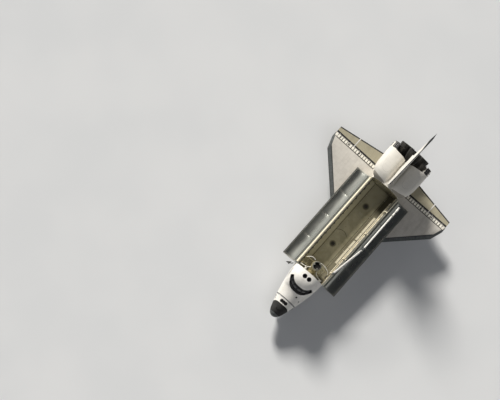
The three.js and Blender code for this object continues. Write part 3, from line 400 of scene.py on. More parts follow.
class Shape:
    def __init__(self):
        self.points = []
        self.faces = []

    def add(self, points, faces):
        base = len(self.points)
        self.points += points
        self.faces += [[base + i for i in face] for face in faces]
        return self

    def loft(self, rings, ends=True):
        count = len(rings[0])
        faces = []
        for base in range(0, (len(rings) - 1) * count, count):
            for i in range(count):
                a, b = base + i, base + (i + 1) % count
                faces.append([a, b, b + count, a + count])
        if ends:
            faces.append(list(range(count))[::-1])
            faces.append([(len(rings) - 1) * count + i for i in range(count)])
        return self.add([p for ring in rings for p in ring], faces)

    def bar(self, outline, stations, sign=1):
        """A bar along the craft: an outline of sides and heights, set at each station."""
        return self.loft([[spot(s, sign * y, z) for y, z in outline] for s in stations])

    def box(self, stations, sides, heights, sign=1):
        (a, b), (low, high) = sides, heights
        return self.bar(((a, low), (b, low), (b, high), (a, high)), stations, sign)

    def block(self, centre, turn, size):
        """A box turned by so many degrees about the upright line through its middle."""
        t = math.radians(turn)
        across, forward = Vector((math.cos(t), math.sin(t), 0)), Vector((-math.sin(t), math.cos(t), 0))
        width, depth, height = (s / 2 for s in size)
        corners = [centre + across * (a * width) + forward * (b * depth) + UP * (z * height)
                   for z in (-1, 1) for a, b in ((-1, -1), (1, -1), (1, 1), (-1, 1))]
        faces = [[3, 2, 1, 0], [4, 5, 6, 7], [0, 1, 5, 4], [1, 2, 6, 5], [2, 3, 7, 6], [3, 0, 4, 7]]
        return self.add(corners, faces)

    def tube(self, path, radius, count=10):
        """A round bar along a path; the radius may be a list with one value for each point."""
        radii = radius if isinstance(radius, (list, tuple)) else [radius] * len(path)
        rings, across = [], None
        for i, p in enumerate(path):
            run = (path[min(i + 1, len(path) - 1)] - path[max(i - 1, 0)]).normalized()
            across = across or square_to(run)[0]
            across = (across - run * across.dot(run)).normalized()
            rings.append(circle(p, across, run.cross(across), radii[i], count, 0.5))
        return self.loft(rings)

    def lathe(self, profile, start, direction, count=48, closed=False):
        """A turned form: [radius, distance] pairs round the line from a start in a direction."""
        axis = Vector(direction).normalized()
        rings = [circle(start + axis * d, *square_to(axis), max(r, 0.001), count) for r, d in profile]
        if closed:
            return self.loft(rings + [rings[0]], ends=False)
        return self.loft(rings)

    def build(self, name, paints=(), matrix=CRAFT):
        mesh = bpy.data.meshes.new(name)
        mesh.from_pydata([tuple(p * IN) for p in self.points], [], self.faces)
        work = bmesh.new()
        work.from_mesh(mesh)
        bmesh.ops.remove_doubles(work, verts=work.verts, dist=2e-5)
        bmesh.ops.recalc_face_normals(work, faces=work.faces)
        work.to_mesh(mesh)
        work.free()
        for paint in paints:
            mesh.materials.append(paint)
        return shown(bpy.data.objects.new(name, mesh), matrix)


def shown(thing, matrix=Matrix()):
    bpy.context.scene.collection.objects.link(thing)
    thing.matrix_world = matrix
    return thing


def changed(thing, kind, **settings):
    """Works a modifier into a thing's mesh."""
    change = thing.modifiers.new("change", kind)
    for name, value in settings.items():
        setattr(change, name, value)
    result = bpy.data.meshes.new_from_object(thing.evaluated_get(bpy.context.evaluated_depsgraph_get()))
    thing.modifiers.clear()
    thing.data = result
    return thing


def carve(thing, cutter, operation="DIFFERENCE"):
    """Cuts a closed shape out of a thing, joins it on, or keeps only what they share."""
    tool = cutter.build("cutter", [], thing.matrix_world) if isinstance(cutter, Shape) else cutter
    bpy.context.view_layer.update()
    changed(thing, "BOOLEAN", operation=operation, solver="MANIFOLD", object=tool)
    bpy.data.objects.remove(tool)


def bevel(thing, inches, segments=2):
    return changed(thing, "BEVEL", width=inches * IN, segments=segments, limit_method="ANGLE",
                   angle_limit=math.radians(35))


def finished(thing, body="airframe", replaces=(), sharp=32):
    """Smooths a thing's shading and hangs it on its body."""
    mesh = thing.data
    mesh.polygons.foreach_set("use_smooth", [True] * len(mesh.polygons))
    mesh.set_sharp_from_angle(angle=math.radians(sharp))
    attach(thing, body)
    if replaces:
        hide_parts(*replaces)
    return thing


def put(shape, name, paint, body="airframe", replaces=(), sharp=32, matrix=CRAFT, soft=None):
    """Builds a shape in one paint, softens its edges by (inches, segments), and finishes it."""
    thing = shape.build(name, [paint], matrix)
    if soft:
        bevel(thing, *soft)
    return finished(thing, body, replaces, sharp)


def repaint(material, *nodes):
    """Gives carried-over solids their paint."""
    for thing in (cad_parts[name] for name in nodes):
        if not thing.material_slots:
            thing.data.materials.append(material)
        for slot in thing.material_slots:
            slot.material = material


def smooth_row(table, x):
    """A row between a table's rows, on smooth curves that don't overshoot. The first column is the key."""
    last = len(table) - 1
    if x <= table[0][0]:
        return list(table[0])
    if x >= table[last][0]:
        return list(table[last])
    k = max(i for i in range(last) if table[i][0] <= x)
    a, b = table[k], table[k + 1]
    width = b[0] - a[0]
    t = (x - a[0]) / width

    def rate(i, c):
        return (table[i + 1][c] - table[i][c]) / (table[i + 1][0] - table[i][0])

    def slope(i, c):
        if i <= 0 or i >= last:
            return rate(0 if i <= 0 else last - 1, c)
        before, after = rate(i - 1, c), rate(i, c)
        return 0.0 if before * after <= 0 else 2 * before * after / (before + after)

    row = [x]
    for c in range(1, len(a)):
        m0, m1 = slope(k, c) * width, slope(k + 1, c) * width
        row.append((2 * t**3 - 3 * t**2 + 1) * a[c] + (t**3 - 2 * t**2 + t) * m0
                   + (3 * t**2 - 2 * t**3) * b[c] + (t**3 - t**2) * m1)
    return row


# The fuselage's round section: station, half breadth, bottom, breadth height, top, roundness of each half
SKIN = (
    (238, 3, 330, 333, 336, 2, 2),
    (241, 14, 321, 333, 346, 2, 2),
    (250, 27, 311, 333, 357, 2, 2),
    (270, 40, 301, 334, 369, 2, 2.2),
    (300, 51, 293, 335, 381, 2, 2.4),
    (335, 62, 288, 336, 392, 2, 2.6),
    (372, 72, 285, 338, 403, 2.05, 2.9),
    (405, 80, 283, 342, 414, 2.1, 3.2),
    (438, 87.5, 282, 350, 430, 2.2, 3.6),
    (454, 90.5, 281, 357, 448, 2.3, 3.8),
    (472, 94, 280.5, 366, 466, 2.4, 4),
    (490, 97, 280, 376, 481, 2.5, 4.4),
    (510, 100, 279.5, 386, 492, 2.45, 5),
    (535, 103.5, 279, 394, 499, 2.35, 5.5),
    (582, 105, 278, 400, 501, 2.3, 6),
    (1307, 105, 268, 400, 501, 2.3, 6),
    (1500, 104, 272, 400, 500, 2.3, 6),
)


def skin_ring(row, inset=0.0, count=104):
    station, half, bottom, breadth, top, round_top, round_bottom = row
    ring = []
    for i in range(count):
        turn = 2 * math.pi * (i + 0.5) / count
        c, s = math.cos(turn), math.sin(turn)
        shape = 2 / (round_top if s > 0 else round_bottom)
        rise = (top - breadth if s > 0 else breadth - bottom) - inset
        ring.append(spot(station, (half - inset) * power(c, shape), breadth + rise * power(s, shape)))
    return ring


def skin_rings(stations, inset=0.0):
    return [skin_ring(smooth_row(SKIN, s), inset) for s in stations]


def skin_loft(fore, aft, inset=0.0, pitch=5.0):
    return Shape().loft(skin_rings(steps(fore, aft, max(1, round((aft - fore) / pitch))), inset))


def skin_top(station, side):
    _, half, _, breadth, top, round_top, _ = smooth_row(SKIN, station)
    return breadth + (top - breadth) * (1 - min(1, abs(side / half)) ** round_top) ** (1 / round_top)


def skin_frame(station, side):
    """A place on the skin's upper half, the way out, and the level and sloping directions there."""
    here = spot(station, side, skin_top(station, side))
    aft = spot(station + 1, side, skin_top(station + 1, side)) - here
    outward = spot(station, side + 1, skin_top(station, side + 1)) - here
    facing = aft.cross(outward).normalized()
    if facing.z < 0:
        facing.negate()
    level = Vector((-facing.y, facing.x, 0)).normalized()
    return here, facing, level, facing.cross(level)


# Camera, floor and lights

FLOOR_REACH = 900.0


def camera():
    """The photograph's angle, framing and lens."""
    data = bpy.data.cameras.new("camera")
    data.lens = 126.63
    data.sensor_width = 36.0
    data.clip_end = 3000.0
    right = Vector((-0.653908, 0.747995, 0.113614))
    down = Vector((0.736509, 0.663702, -0.130592))
    turn = Matrix((right, -down, -right.cross(down))).transposed().to_4x4()
    thing = bpy.data.objects.new("camera", data)
    shown(thing, Matrix.Translation((55.3776, -14.3636, 280.6888)) @ turn)
    bpy.context.scene.camera = thing


def floor():
    mesh = bpy.data.meshes.new("floor")
    corners = [(x * FLOOR_REACH, y * FLOOR_REACH, 0) for x, y in ((-1, -1), (1, -1), (1, 1), (-1, 1))]
    mesh.from_pydata(corners, [], [[0, 1, 2, 3]])
    paint = Paint("studio_floor", "d8d9da", 0.85)
    paint.stain(600, 2, 0.3, 0.7, 0.5, "cfd1d3")
    mesh.materials.append(paint.material)
    shown(bpy.data.objects.new("floor", mesh))


def lamp(name, towards, spread, strength, color, glossy=True):
    """A soft, even light from a direction, so many degrees across."""
    data = bpy.data.lights.new(name, "SUN")
    data.angle = math.radians(spread)
    data.energy = strength
    data.color = color
    thing = bpy.data.objects.new(name, data)
    way = Vector(towards).normalized()
    thing.visible_glossy = glossy
    shown(thing, Matrix.Translation(way * 100) @ way.to_track_quat("Z", "Y").to_matrix().to_4x4())


def lights():
    """A studio with a pale backdrop all round, bright on the key light's side and dark overhead."""
    world = bpy.data.worlds.new("studio")
    world.use_nodes = True
    tree = world.node_tree
    split = node(tree, "SeparateXYZ", node(tree, "TexCoord").outputs["Generated"])
    x, y, height = (Field(tree, split.outputs[axis]) for axis in "XYZ")
    sunward = (x * -0.45 + y * -0.89).ramp(-0.25, 0.95)
    sides = two_colors(tree, sunward, (0.045, 0.047, 0.052, 1), (0.95, 0.95, 0.92, 1))
    sides = two_colors(tree, height.ramp(0.1, 0.2), (0.6, 0.61, 0.62, 1), sides)
    sky = two_colors(tree, height.ramp(0.1, 0.85), sides, (0.035, 0.037, 0.042, 1))
    tree.links.new(sky, tree.nodes["Background"].inputs["Color"])
    bpy.context.scene.world = world
    lamp("key", (-0.62, -0.78, 0.56), 13, 4.8, (1.0, 0.97, 0.92))
    lamp("fill", (0.3, 0.4, 1.0), 44, 0.44, (0.94, 0.96, 1.0), glossy=False)
    bpy.context.scene.view_settings.view_transform = "Standard"


camera()
floor()
lights()


# Nose and cabin

# Windows: station, side, width and height
FRONT_WINDOWS = ((457, 17, 27, 24), (467, 49, 28, 25), (495, 73, 28, 21))
ROOF_WINDOWS = ((548, 17, 20, 20),)
# Nose thrusters that fire up or ahead: station, side and radius
TOP_JETS = ((347, 12, 5.2), (347, -3.5, 5.2), (347, -19, 5.2),
            (291, 13, 3.6), (290, 0, 3.6), (291, -13, 3.6))
# Nose thrusters that fire sideways: station and height
SIDE_JETS = ((336, 352), (346, 341), (353, 352), (357, 338))
# Openings of the star sensors: station, side and radius
STAR_SENSORS = ((419, 36, 6.5), (409, 66, 5.5))


def window_prism(window, sign, depth, grow=0.0, rise=8.0):
    """A window's rounded outline, from a depth under the skin to a rise over it."""
    station, side, width, height = window
    here, facing, level, slope = skin_frame(station, sign * side)
    corner = 4.0 + grow * 0.6
    outline = []
    for x, y, start in ((1, 1, 0), (-1, 1, 90), (-1, -1, 180), (1, -1, 270)):
        for k in range(5):
            turn = math.radians(start + 22.5 * k)
            outline.append((x * (width / 2 + grow - corner) + corner * math.cos(turn),
                            y * (height / 2 + grow - corner) + corner * math.sin(turn)))
    return Shape().loft([[here + level * u + slope * v + facing * far for u, v in outline]
                         for far in (-depth, rise)])


def nose_and_cabin():
    cap = Shape().loft(skin_rings((238.2, 239, 240, 241.5, 243.5, 246, 249, 253, 257, 261.4)))
    put(cap, "nose_cap_skin", stock("carbon"), replaces=["nose_cap"], sharp=60)

    hull = skin_loft(262, 581.4, pitch=4).build("forward_skin", [cabin_paint(), liner(), black()])
    cavity = skin_loft(410, 570, 6.5, 6).build("cavity")
    carve(cavity, Shape().box((400, 580), (-130, 130), (250, 352)))
    carve(hull, cavity)
    carve(hull, Shape().box((300, 398), (-21, 21), (250, 322)))
    for window in FRONT_WINDOWS + ROOF_WINDOWS:
        for _, sign in SIDES:
            carve(hull, window_prism(window, sign, 12))
    for _, sign in SIDES:
        carve(hull, Shape().box((562, 590), (10, 26), (452, 468), sign))
    nose_jets(hull)
    # Joint round the nose thruster module
    groove = skin_loft(366.6, 368.6, -2, 2).build("groove")
    carve(groove, skin_loft(366, 369.2, 1.1, 2))
    carve(hull, groove)
    finished(hull, replaces=["forward_fuselage", "forward_thruster_module"], sharp=28)


def skin_side(station, height):
    """How far out the skin reaches at a height."""
    _, half, bottom, breadth, top, round_top, round_bottom = smooth_row(SKIN, station)
    rise = (height - breadth) / (top - breadth if height > breadth else breadth - bottom)
    shape = round_top if rise > 0 else round_bottom
    return half * (1 - abs(rise) ** shape) ** (1 / shape)


def nose_jets(hull):
    """Recessed thrusters with rolled lips on the nose's top and sides, and two star sensors to port."""
    lips, throats = Shape(), Shape()

    def recess(start, way, radius, depth, floor, shares, count=32):
        """Shares of the radius: the recess's floor, the throat's foot, rim, inner rim and inner foot."""
        far, foot, rim, inner_rim, inner_foot = (radius * share for share in shares)
        carve(hull, Shape().lathe(drum(radius, depth, 0, far), start, way, count))
        throats.lathe([[0, depth - 0.1], [foot, depth - 0.1], [rim, 3.0], [inner_rim, 3.0],
                       [inner_foot, floor], [0, floor]], start, way, count)

    for station, side, radius in TOP_JETS:
        here, facing, _, _ = skin_frame(station, side)
        start = here + facing * 1.5
        recess(start, -facing, radius, 9, 8.4, (0.6, 0.56, 0.86, 0.8, 0.5))
        lip = [[radius, 0.9], [radius + 0.8, 0.9], [radius + 0.8, 2.4], [radius - 0.3, 2.4]]
        lips.lathe(lip, start, -facing, 32, True)
    for station, height in SIDE_JETS:
        for _, sign in SIDES:
            start = spot(station, sign * (skin_side(station, height) + 1.2), height)
            recess(start, (0, -sign, 0), 4.0, 9, 8.4, (0.65, 0.6, 0.85, 0.8, 0.55), 28)
            lips.lathe([[4.0, 0.6], [4.8, 0.6], [4.8, 2.2], [3.8, 2.2]], start, (0, -sign, 0), 28, True)
    for station, side, radius in STAR_SENSORS:
        here, facing, _, _ = skin_frame(station, side)
        recess(here + facing * 1.5, -facing, radius, 8, 7.2, (0.9, 0.88, 0.93, 0.85, 0.8))
    put(lips, "nose_jet_lips", stock("nozzle_soot"))
    put(throats, "nose_jet_throats", stock("nozzle_soot"), sharp=50)


def window_trim():
    """Raised frames round each window."""
    for group, windows in (("front", FRONT_WINDOWS), ("roof", ROOF_WINDOWS)):
        for i, window in enumerate(windows):
            for name, sign in SIDES:
                trim = window_prism(window, sign, 2.2, 1.9, 0.5)
                trim = trim.build(f"{group}_window_{i + 1}_{name}", [black()])
                carve(trim, window_prism(window, sign, 5, -0.5, 5))
                finished(bevel(trim, 0.2, 1))


def cabin_paint():
    """White forward tiles, with black tiles on the nose, on the belly and round the windows."""
    paint = Paint("forward_tile", "ece9e2", 0.72)
    station, height, out = paint.station, paint.height, paint.out
    paint.weather("d3cfc5", "f5f3ed")
    paint.mix(paint.cells((8, 8, 8)).ramp(0.3, 1, 0, 0.18), "cdc8be")
    paint.joints(station.lines(8, 0.22), out.lines(8, 0.22), 0.3, "8b877e", 0.08)
    # The black nose reaches a little further aft on top than on its sides
    nose = (station + height.ramp(334, 388, 13, 0) + paint.noise(14, 1) * 3).under(332)
    belly = (height - station.ramp(300, 620, 322, 292)).under(0)
    paint.tiles(nose.either(belly), "282726", "3d3c3b", 0.45)
    paint.mix(station.line(369, 7.5), "191817")
    for place, side, _ in TOP_JETS[:3]:
        ring = station.from_squared(place) + paint.side.from_squared(side)
        paint.mix(ring.under(128) * height.over(374), "201f20")
    # Black round the windows, along the arc that they stand on
    arc = station - out.math("POWER", 3.0) * 9.9e-5
    corner = station.from_squared(492) + out.from_squared(71)
    paint.mix(arc.between(437, 477) * out.under(67).either(corner.under(400)) * height.over(404), "17171a")
    roof = station.from_squared(548) + out.from_squared(17)
    paint.mix(roof.under(222) * height.over(470), "1c1c1f")
    return paint.material


# Cargo bay

BAY_FORE, BAY_AFT = 582.0, 1307.0
TROUGH = ((-93, 399), (-93, 350), (-58, 306), (58, 306), (93, 350), (93, 399))
SLOPE = 1.257
FRAME_PITCH = 60.4
KEEL_LATCHES = ((839, -11), (1155, -7))
# Stretches of the port sill and wall where pale covers and trays stand for sunlit parts, a painted light
SUNLIT_SPANS = ((753, 878), (880, 939), (949, 1006), (1008, 1133))
DOOR_HINGES = (620, 944, 1269)
ARM_BEARINGS = (692, 905, 1112, 1252)
DOCK_BRIDGES = (618, 660)


@functools.cache
def liner():
    """Woven cloth that lines the cargo bay, olive with stains; painted shade darkens its aft end, its port
    walls and the floor round the keel latches, and painted light brightens its starboard walls.
    """
    paint = Paint("bay_cloth", "cdc5a4", 0.85)
    paint.stain(90, 4, 0.38, 0.66, 0.7, "b0a888")
    paint.stain(30, 4, 0.5, 0.72, 0.4, "d2ceb0")
    # Painted shade: the cloth grows darker towards the aft end of the bay
    paint.mix(paint.station.ramp(980, 1260, 0, 0.55), "7b745b")
    # Painted shade and light on the walls above the floor: darker to port, lighter to starboard
    slopes = paint.height.ramp(307, 316, 0, 0.9)
    paint.mix(slopes * paint.side.ramp(-50, 50), "565140")
    paint.mix(slopes * paint.side.ramp(-50, 50, 0.6, 0), "d4cdae")
    paint.stain(14, 5, 0.6, 0.78, 0.5, "5d533d")
    # Painted shade: dark pools on the floor round the keel latches
    for station, side in KEEL_LATCHES:
        shade = paint.station.from_squared(station) + paint.side.from_squared(side)
        paint.mix(shade.ramp(150, 700, 0.7, 0), "2e271a")
    paint.relief(paint.station.waves(0.4) * paint.side.waves(0.4), 0.2)
    paint.relief(paint.noise(6, 4), 0.5)
    return paint.material


def trough_path(inset, spacing=5.0):
    """Points inside the trough's outline: side, height, inward side, inward height and distance."""
    path, run = [], 0.0
    for (y0, z0), (y1, z1) in zip(TROUGH, TROUGH[1:]):
        length = math.hypot(y1 - y0, z1 - z0)
        inward = (-(z1 - z0) / length, (y1 - y0) / length)
        for k in range(round(length / spacing)):
            t = k * spacing / length
            y, z = y0 + t * (y1 - y0), z0 + t * (z1 - z0)
            path.append((y + inward[0] * inset, z + inward[1] * inset, *inward, run + t * length))
        run += length
    path.append((TROUGH[-1][0] - inset, TROUGH[-1][1], -1, 0, run))
    return path


def bay_lining():
    """Quilted cloth that puffs out between the frames."""
    path = trough_path(0.15)
    rings = []
    for s in steps(BAY_FORE + 0.6, BAY_AFT - 0.6, 168):
        swell = abs(math.sin(math.pi * (s - BAY_FORE) / (FRAME_PITCH / 2))) ** 0.4
        inner = []
        for y, z, ny, nz, run in path:
            puff = 0.25 + 1.15 * swell * abs(math.sin(math.pi * run / 27.0)) ** 0.4
            inner.append(spot(s, y + ny * puff, z + nz * puff))
        rings.append(inner + [spot(s, y, z) for y, z, *_ in reversed(path)])
    put(Shape().loft(rings), "bay_lining", liner(), sharp=75)

    ribs = Shape()
    section = ((-1.5, 0.2), (-1.5, 2.4), (-0.9, 2.9), (0.9, 2.9), (1.5, 2.4), (1.5, 0.2))
    for k in range(1, 12):
        s = BAY_FORE + FRAME_PITCH * k
        ribs.loft([[spot(s + a, y + ny * b, z + nz * b) for a, b in section] for y, z, ny, nz, _ in path])
    put(ribs, "bay_frames", liner(), sharp=50)


def hull_paint():
    """White blankets on the sides and black tiles below; the trough's own faces are lined."""
    paint = Paint("bay_hull", "d8d3c9", 0.78)
    paint.weather("bcb7ab", "e2dfd8")
    paint.joints(paint.station.lines(29, 0.5), paint.height.lines(24, 0.5), 0.5, "8d8980", 0.12)
    vents = paint.height.between(372, 384) * paint.station.line(944, 520) * paint.station.lines(120, 40)
    paint.mix(vents * 0.8, "3a3835")
    paint.tiles(paint.height.under(292), "1d1d1f", "2e2e31", sizes=(6, 6, 60))
    paint.mix(paint.out.under(93.3) * paint.height.over(300), "77705a")
    return paint.material


def bay_hull():
    hull = skin_loft(582.3, 1306.7, pitch=36).build("bay_hull", [hull_paint()])
    carve(hull, Shape().bar(((-93, 520), *TROUGH[1:5], (93, 520)), (570, 1320)))
    carve(hull, Shape().box((570, 1320), (-130, 130), (400, 520)))
    finished(hull, replaces=["bay_belly", "bay_wall_port", "bay_wall_starboard"], sharp=28)
    rims = Shape()
    for _, sign in SIDES:
        rims.box((582.3, 1306.7), (103.4, 104.95), (399, 414), sign)
        for s in DOOR_HINGES:
            rims.box(span(s, 2), (103.5, 106.4), (412, 420), sign)
            rims.box(span(s, 5), (99, 103.6), (400, 411), sign)
            rims.tube([spot(t, sign * 105, 420) for t in span(s, 2)], 1.6, 20)
    bearing = [[2.4, -3], [3.7, -3], [4.0, -2.6], [4.0, 2.6], [3.7, 3], [2.4, 3]]
    for s in ARM_BEARINGS:
        rims.lathe(bearing, spot(s, 93, 403.5), FORE, 32, True)
        rims.box(span(s, 3), (88.7, 97.3), (399.5, 401.2))
        for side in (89.5, 96.5):
            rims.lathe(drum(0.7, 1.2), spot(s, side, 401), UP, 6)
    put(rims, "bay_rims", stock("pale_fitting"), soft=(0.15, 1))
    # Two long cream covers on the port sill beside the cradles' tube, only along the sunlit spans; their
    # pale colour and place stand for sunlit structure, a painted light
    covers = Shape()
    for sides in ((97.8, 100.1), (100.7, 103.2)):
        for stations in SUNLIT_SPANS:
            covers.box(stations, sides, (400.8, 406.5))
    put(covers, "sill_covers", stock("cream_cover"), soft=(0.5, 2))


def bay_fittings():
    dark, pale = stock("fitting_steel"), stock("pale_fitting")
    things = Shape()
    # Keel latches, then the bridges and pipes along both sides
    for station, side in KEEL_LATCHES:
        things.box(span(station, 9), span(side, 10), (308, 311))
        things.box(span(station, 5), span(side, 6), (311, 315))
        things.tube([spot(s, side, 312) for s in span(station, 14)], 1.5, 12)
    for _, sign in SIDES:
        for k in range(17):
            station = 600 + 41.5 * k
            things.box(span(station, 5), (92.2, 88.5), (391, 399.5), sign)
            things.box(span(station, 1.6), (88.5, 86.8), (393, 397), sign)
        for side, height, radius in ((90.6, 356, 0.8), (90.6, 365, 0.8), (56, 309.8, 1.3)):
            things.tube([spot(s, sign * side, height) for s in (590, 1300)], radius, 8)
    put(things, "bay_fittings", dark, soft=(0.3, 1))

    lamps = Shape()
    for station, side in ((690, 62), (742, -60), (846, 70), (905, -48), (985, 40), (1050, -66), (1120, 58),
                          (1212, -50), (1262, 60)):
        foot = 350 - (93 - abs(side)) * SLOPE if abs(side) > 58 else 306.0
        lamps.lathe([[0, 0], [2.4, 0], [2.4, 3], [1.8, 4], [0, 4]], spot(station, side, foot + 1.5), UP, 20)
    put(lamps, "bay_lamps", pale)

    # Two pale cable trays on the port wall's slope, only along the sunlit spans; they stand for a sunlit
    # strip of the wall, a painted light
    trays, clips = Shape(), Shape()
    along, inward = Vector((0, -0.6225, -0.7826)), Vector((0, -0.7826, 0.6225))
    lid = ((-4.6, 2.6), (4.6, 2.6), (4.6, 4.4), (3.6, 5.2), (-3.6, 5.2), (-4.6, 4.4))
    clip = ((-5.4, 2.4), (5.4, 2.4), (5.4, 5.9), (-5.4, 5.9))

    def lay(shape, outline, distance, stations):
        shape.loft([[spot(s, 93, 350) + along * (distance + a) + inward * b for a, b in outline]
                    for s in stations])

    for distance in (6, 16.6):
        for fore, aft in SUNLIT_SPANS:
            lay(trays, lid, distance, (fore, aft))
            for k in range(int((aft - fore) / 14)):
                lay(clips, clip, distance, (fore + 7 + 14 * k, fore + 8.6 + 14 * k))
    put(trays, "cable_trays", stock("sunlit_tray_cover"), soft=(0.2, 1))
    put(clips, "tray_clips", pale)

    # A cable that crosses the bay floor on its clips
    cable = [spot(918 + 26 * math.sin(math.pi * t * 0.9), -62 + 92 * t, 309.6 if 0.05 < t < 0.95 else 308.9)
             for t in (i / 24 for i in range(25))]
    put(Shape().tube(cable, 1.1, 8), "bay_cable_run", dark)


def sill_trim():
    """Edge strips and hinge arms along both sills; the plates and arms are dark olive as painted shade, the
    outer strips cream.
    """
    trim, strips = Shape(), Shape()
    for _, sign in SIDES:
        trim.box((583, 1306), (93.2, 97.4), (399.9, 400.9), sign)
        trim.box((583, 1306), (93.2, 94.6), (400.9, 402.4), sign)
        strips.box((583, 1306), (97.4, 103.3), (399.9, 401.3), sign)
        for k in range(23):
            station = 600 + 30.5 * k
            if min(abs(station - s) for s in (*DOOR_HINGES, *ARM_BEARINGS, *DOCK_BRIDGES)) > 9:
                trim.box(span(station, 1), (95, 103.3), (401.2, 404.5), sign)
    # Plates and arms in dark olive, a painted shade on the sills
    put(trim, "sill_trim", stock("shaded_sill_plate"), soft=(0.2, 1))
    put(strips, "sill_strips", stock("cream_cover"), soft=(0.2, 1))


# Doors, drawn shut and swung open on their hinge lines

ARCH_HALF, ARCH_BASE, ARCH_TOP, ARCH_ROUND = 105.0, 400.0, 501.0, 2.3
DOOR_HINGE = (105, 420)
DOOR_OPEN = 175.5
CROWN = math.pi / 2 - 0.012
RADIATOR_LOW, RADIATOR_STAND, RADIATOR_THICK = 458, 5.0, 1.5
PANEL_ENDS = ((592, 766), (769, 943), (946, 1119), (1122, 1297))
DISH_NOTCH_AFT = 593.5


def arch_point(turn, inset):
    def place(t):
        rise = (ARCH_TOP - ARCH_BASE) * math.sin(t) ** (2 / ARCH_ROUND)
        return ARCH_HALF * math.cos(t) ** (2 / ARCH_ROUND), ARCH_BASE + rise
    y, z = place(turn)
    y2, z2 = place(turn + 0.001)
    size = math.hypot(y2 - y, z2 - z)
    return y - inset * (z2 - z) / size, z + inset * (y2 - y) / size


def arch_turn(height):
    return math.asin(((height - ARCH_BASE) / (ARCH_TOP - ARCH_BASE)) ** (ARCH_ROUND / 2))


def arch_ring(station, sign, low, high_turn, outer, inner, count=44):
    turns = steps(arch_turn(low), high_turn, count)
    points = [arch_point(t, outer) for t in turns] + [arch_point(t, inner) for t in reversed(turns)]
    return [spot(station, sign * y, z) for y, z in points]


def on_arch(station, sign, turn, inset):
    """A place on the shut door's arch, so far inside its skin."""
    y, z = arch_point(turn, inset)
    return spot(station, sign * y, z)


def door_matrix(sign):
    hinge = moved(spot(0, sign * DOOR_HINGE[0], DOOR_HINGE[1]))
    return CRAFT @ hinge @ turned(-sign * DOOR_OPEN, "X") @ hinge.inverted()


@functools.cache
def radiator_film():
    """Silvered radiator sheets with the faint lines of the tubes under them."""
    paint = Paint("radiator_film", "abaca5", 0.3, 0.95)
    tubes = paint.out.lines(2.6, 0.6)
    paint.mix(tubes * 0.2, "868b85")
    paint.stain(80, 2, 0.4, 0.7, 0.14, "8f938d", (5, 1, 1))
    paint.vary("Roughness", paint.noise(40, 2, (4, 1, 1)).ramp(0.35, 0.65, 0.27, 0.33))
    paint.relief(tubes, 0.015)
    return paint.material


def door_leaf(name, sign):
    """The curved leaf with its four panels' seams; the starboard one has a notch for the dish's boom, and
    its foot face is cream, a painted light.
    """
    stations = [(584.3, 0.0)]
    for seam in (728, 872.5, 1017, 1161):
        stations += [(x, 0.0) for x in steps(stations[-1][0], seam - 0.45, 5)[1:]]
        stations += [(seam - 0.35, 0.7), (seam + 0.35, 0.7), (seam + 0.45, 0.0)]
    stations += [(x, 0.0) for x in steps(stations[-1][0], 1304.7, 5)[1:]]
    leaf = Shape().loft([arch_ring(s, sign, 417, CROWN, groove, 4) for s, groove in stations])
    paints = [white(), *(stock(paint) for paint in ("door_rim", "door_lining", "cream_cover"))]
    leaf = leaf.build(f"door_leaf_{name}", paints, door_matrix(sign))
    if name == "starboard":
        carve(leaf, Shape().tube([spot(s, sign * 105, 420) for s in (580, DISH_NOTCH_AFT)], 24, 48))
    arch_centre = Vector((0, 0, ARCH_BASE * IN))
    for face in leaf.data.polygons:
        inward = face.normal.dot(arch_centre - face.center * Vector((0, 1, 1))) > 0
        face.material_index = 1 if abs(face.normal.x) > 0.9 else 2 if inward else 0
        # The starboard leaf's foot face in cream, a painted light; the port one keeps the grey lining
        if name == "starboard" and face.normal.z < -0.8 and face.center.z < 418 * IN:
            face.material_index = 3
    finished(leaf, f"{name}_door", [f"bay_door_{name}"], 40)


def door_inside(name, sign):
    """Strips along root and foot, rims, hinge knuckles and the hooks along the crown."""
    body, matrix = f"{name}_door", door_matrix(sign)
    fore, low = (DISH_NOTCH_AFT + 1, 448) if name == "starboard" else (586, 420)
    for part, paint, start, end, inner in (("root", radiator_film(), 438.4, 453, 4.9),
                                           ("foot", stock("cream_cover"), 418, 438, 5.2)):
        strip = Shape().loft([arch_ring(s, sign, start, arch_turn(end), 4, inner, 14)
                              for s in steps(fore, 1303, 40)])
        put(strip, f"door_{part}_{name}", paint, body, matrix=matrix)
    inside = Shape()
    for s in DOOR_HINGES:
        for near, far, radius, count in ((-2.3, -4.1, 1.85, 16), (2.3, 4.1, 1.85, 16), (-3.4, 3.4, 0.8, 12)):
            inside.tube([spot(s + d, sign * 105, 420) for d in (near, far)], radius, count)
    y, z = arch_point(CROWN - 0.05, 4.6)
    for k in range(16):
        inside.box(span(607 + 45 * k, 2), (y, y + 3.4), span(z, 1.2), sign)
    for s, start in ((587.5, low), (1301.5, 420)):
        inside.loft([arch_ring(t, sign, start, CROWN - 0.02, 4, 5.6, 30) for t in span(s, 1.6)])
    put(inside, f"door_inside_{name}", stock("door_rim"), body, matrix=matrix)


def radiator_panel(label, name, sign, fore, aft, body, replaces):
    """One curved panel with rounded rims."""
    def ring(station, drop):
        return arch_ring(station, sign, RADIATOR_LOW, CROWN - 0.03, RADIATOR_STAND + drop * 0.5,
                         RADIATOR_STAND + RADIATOR_THICK - drop * 0.5, 56)
    rings = [ring(fore, 0.5), ring(fore + 0.25, 0.1)]
    rings += [ring(s, 0) for s in steps(fore + 0.7, aft - 0.7, 8)]
    rings += [ring(aft - 0.25, 0.1), ring(aft, 0.5)]
    panel = Shape().loft(rings)
    put(panel, f"radiator_{label}_{name}", radiator_film(), body, replaces, 40, door_matrix(sign))


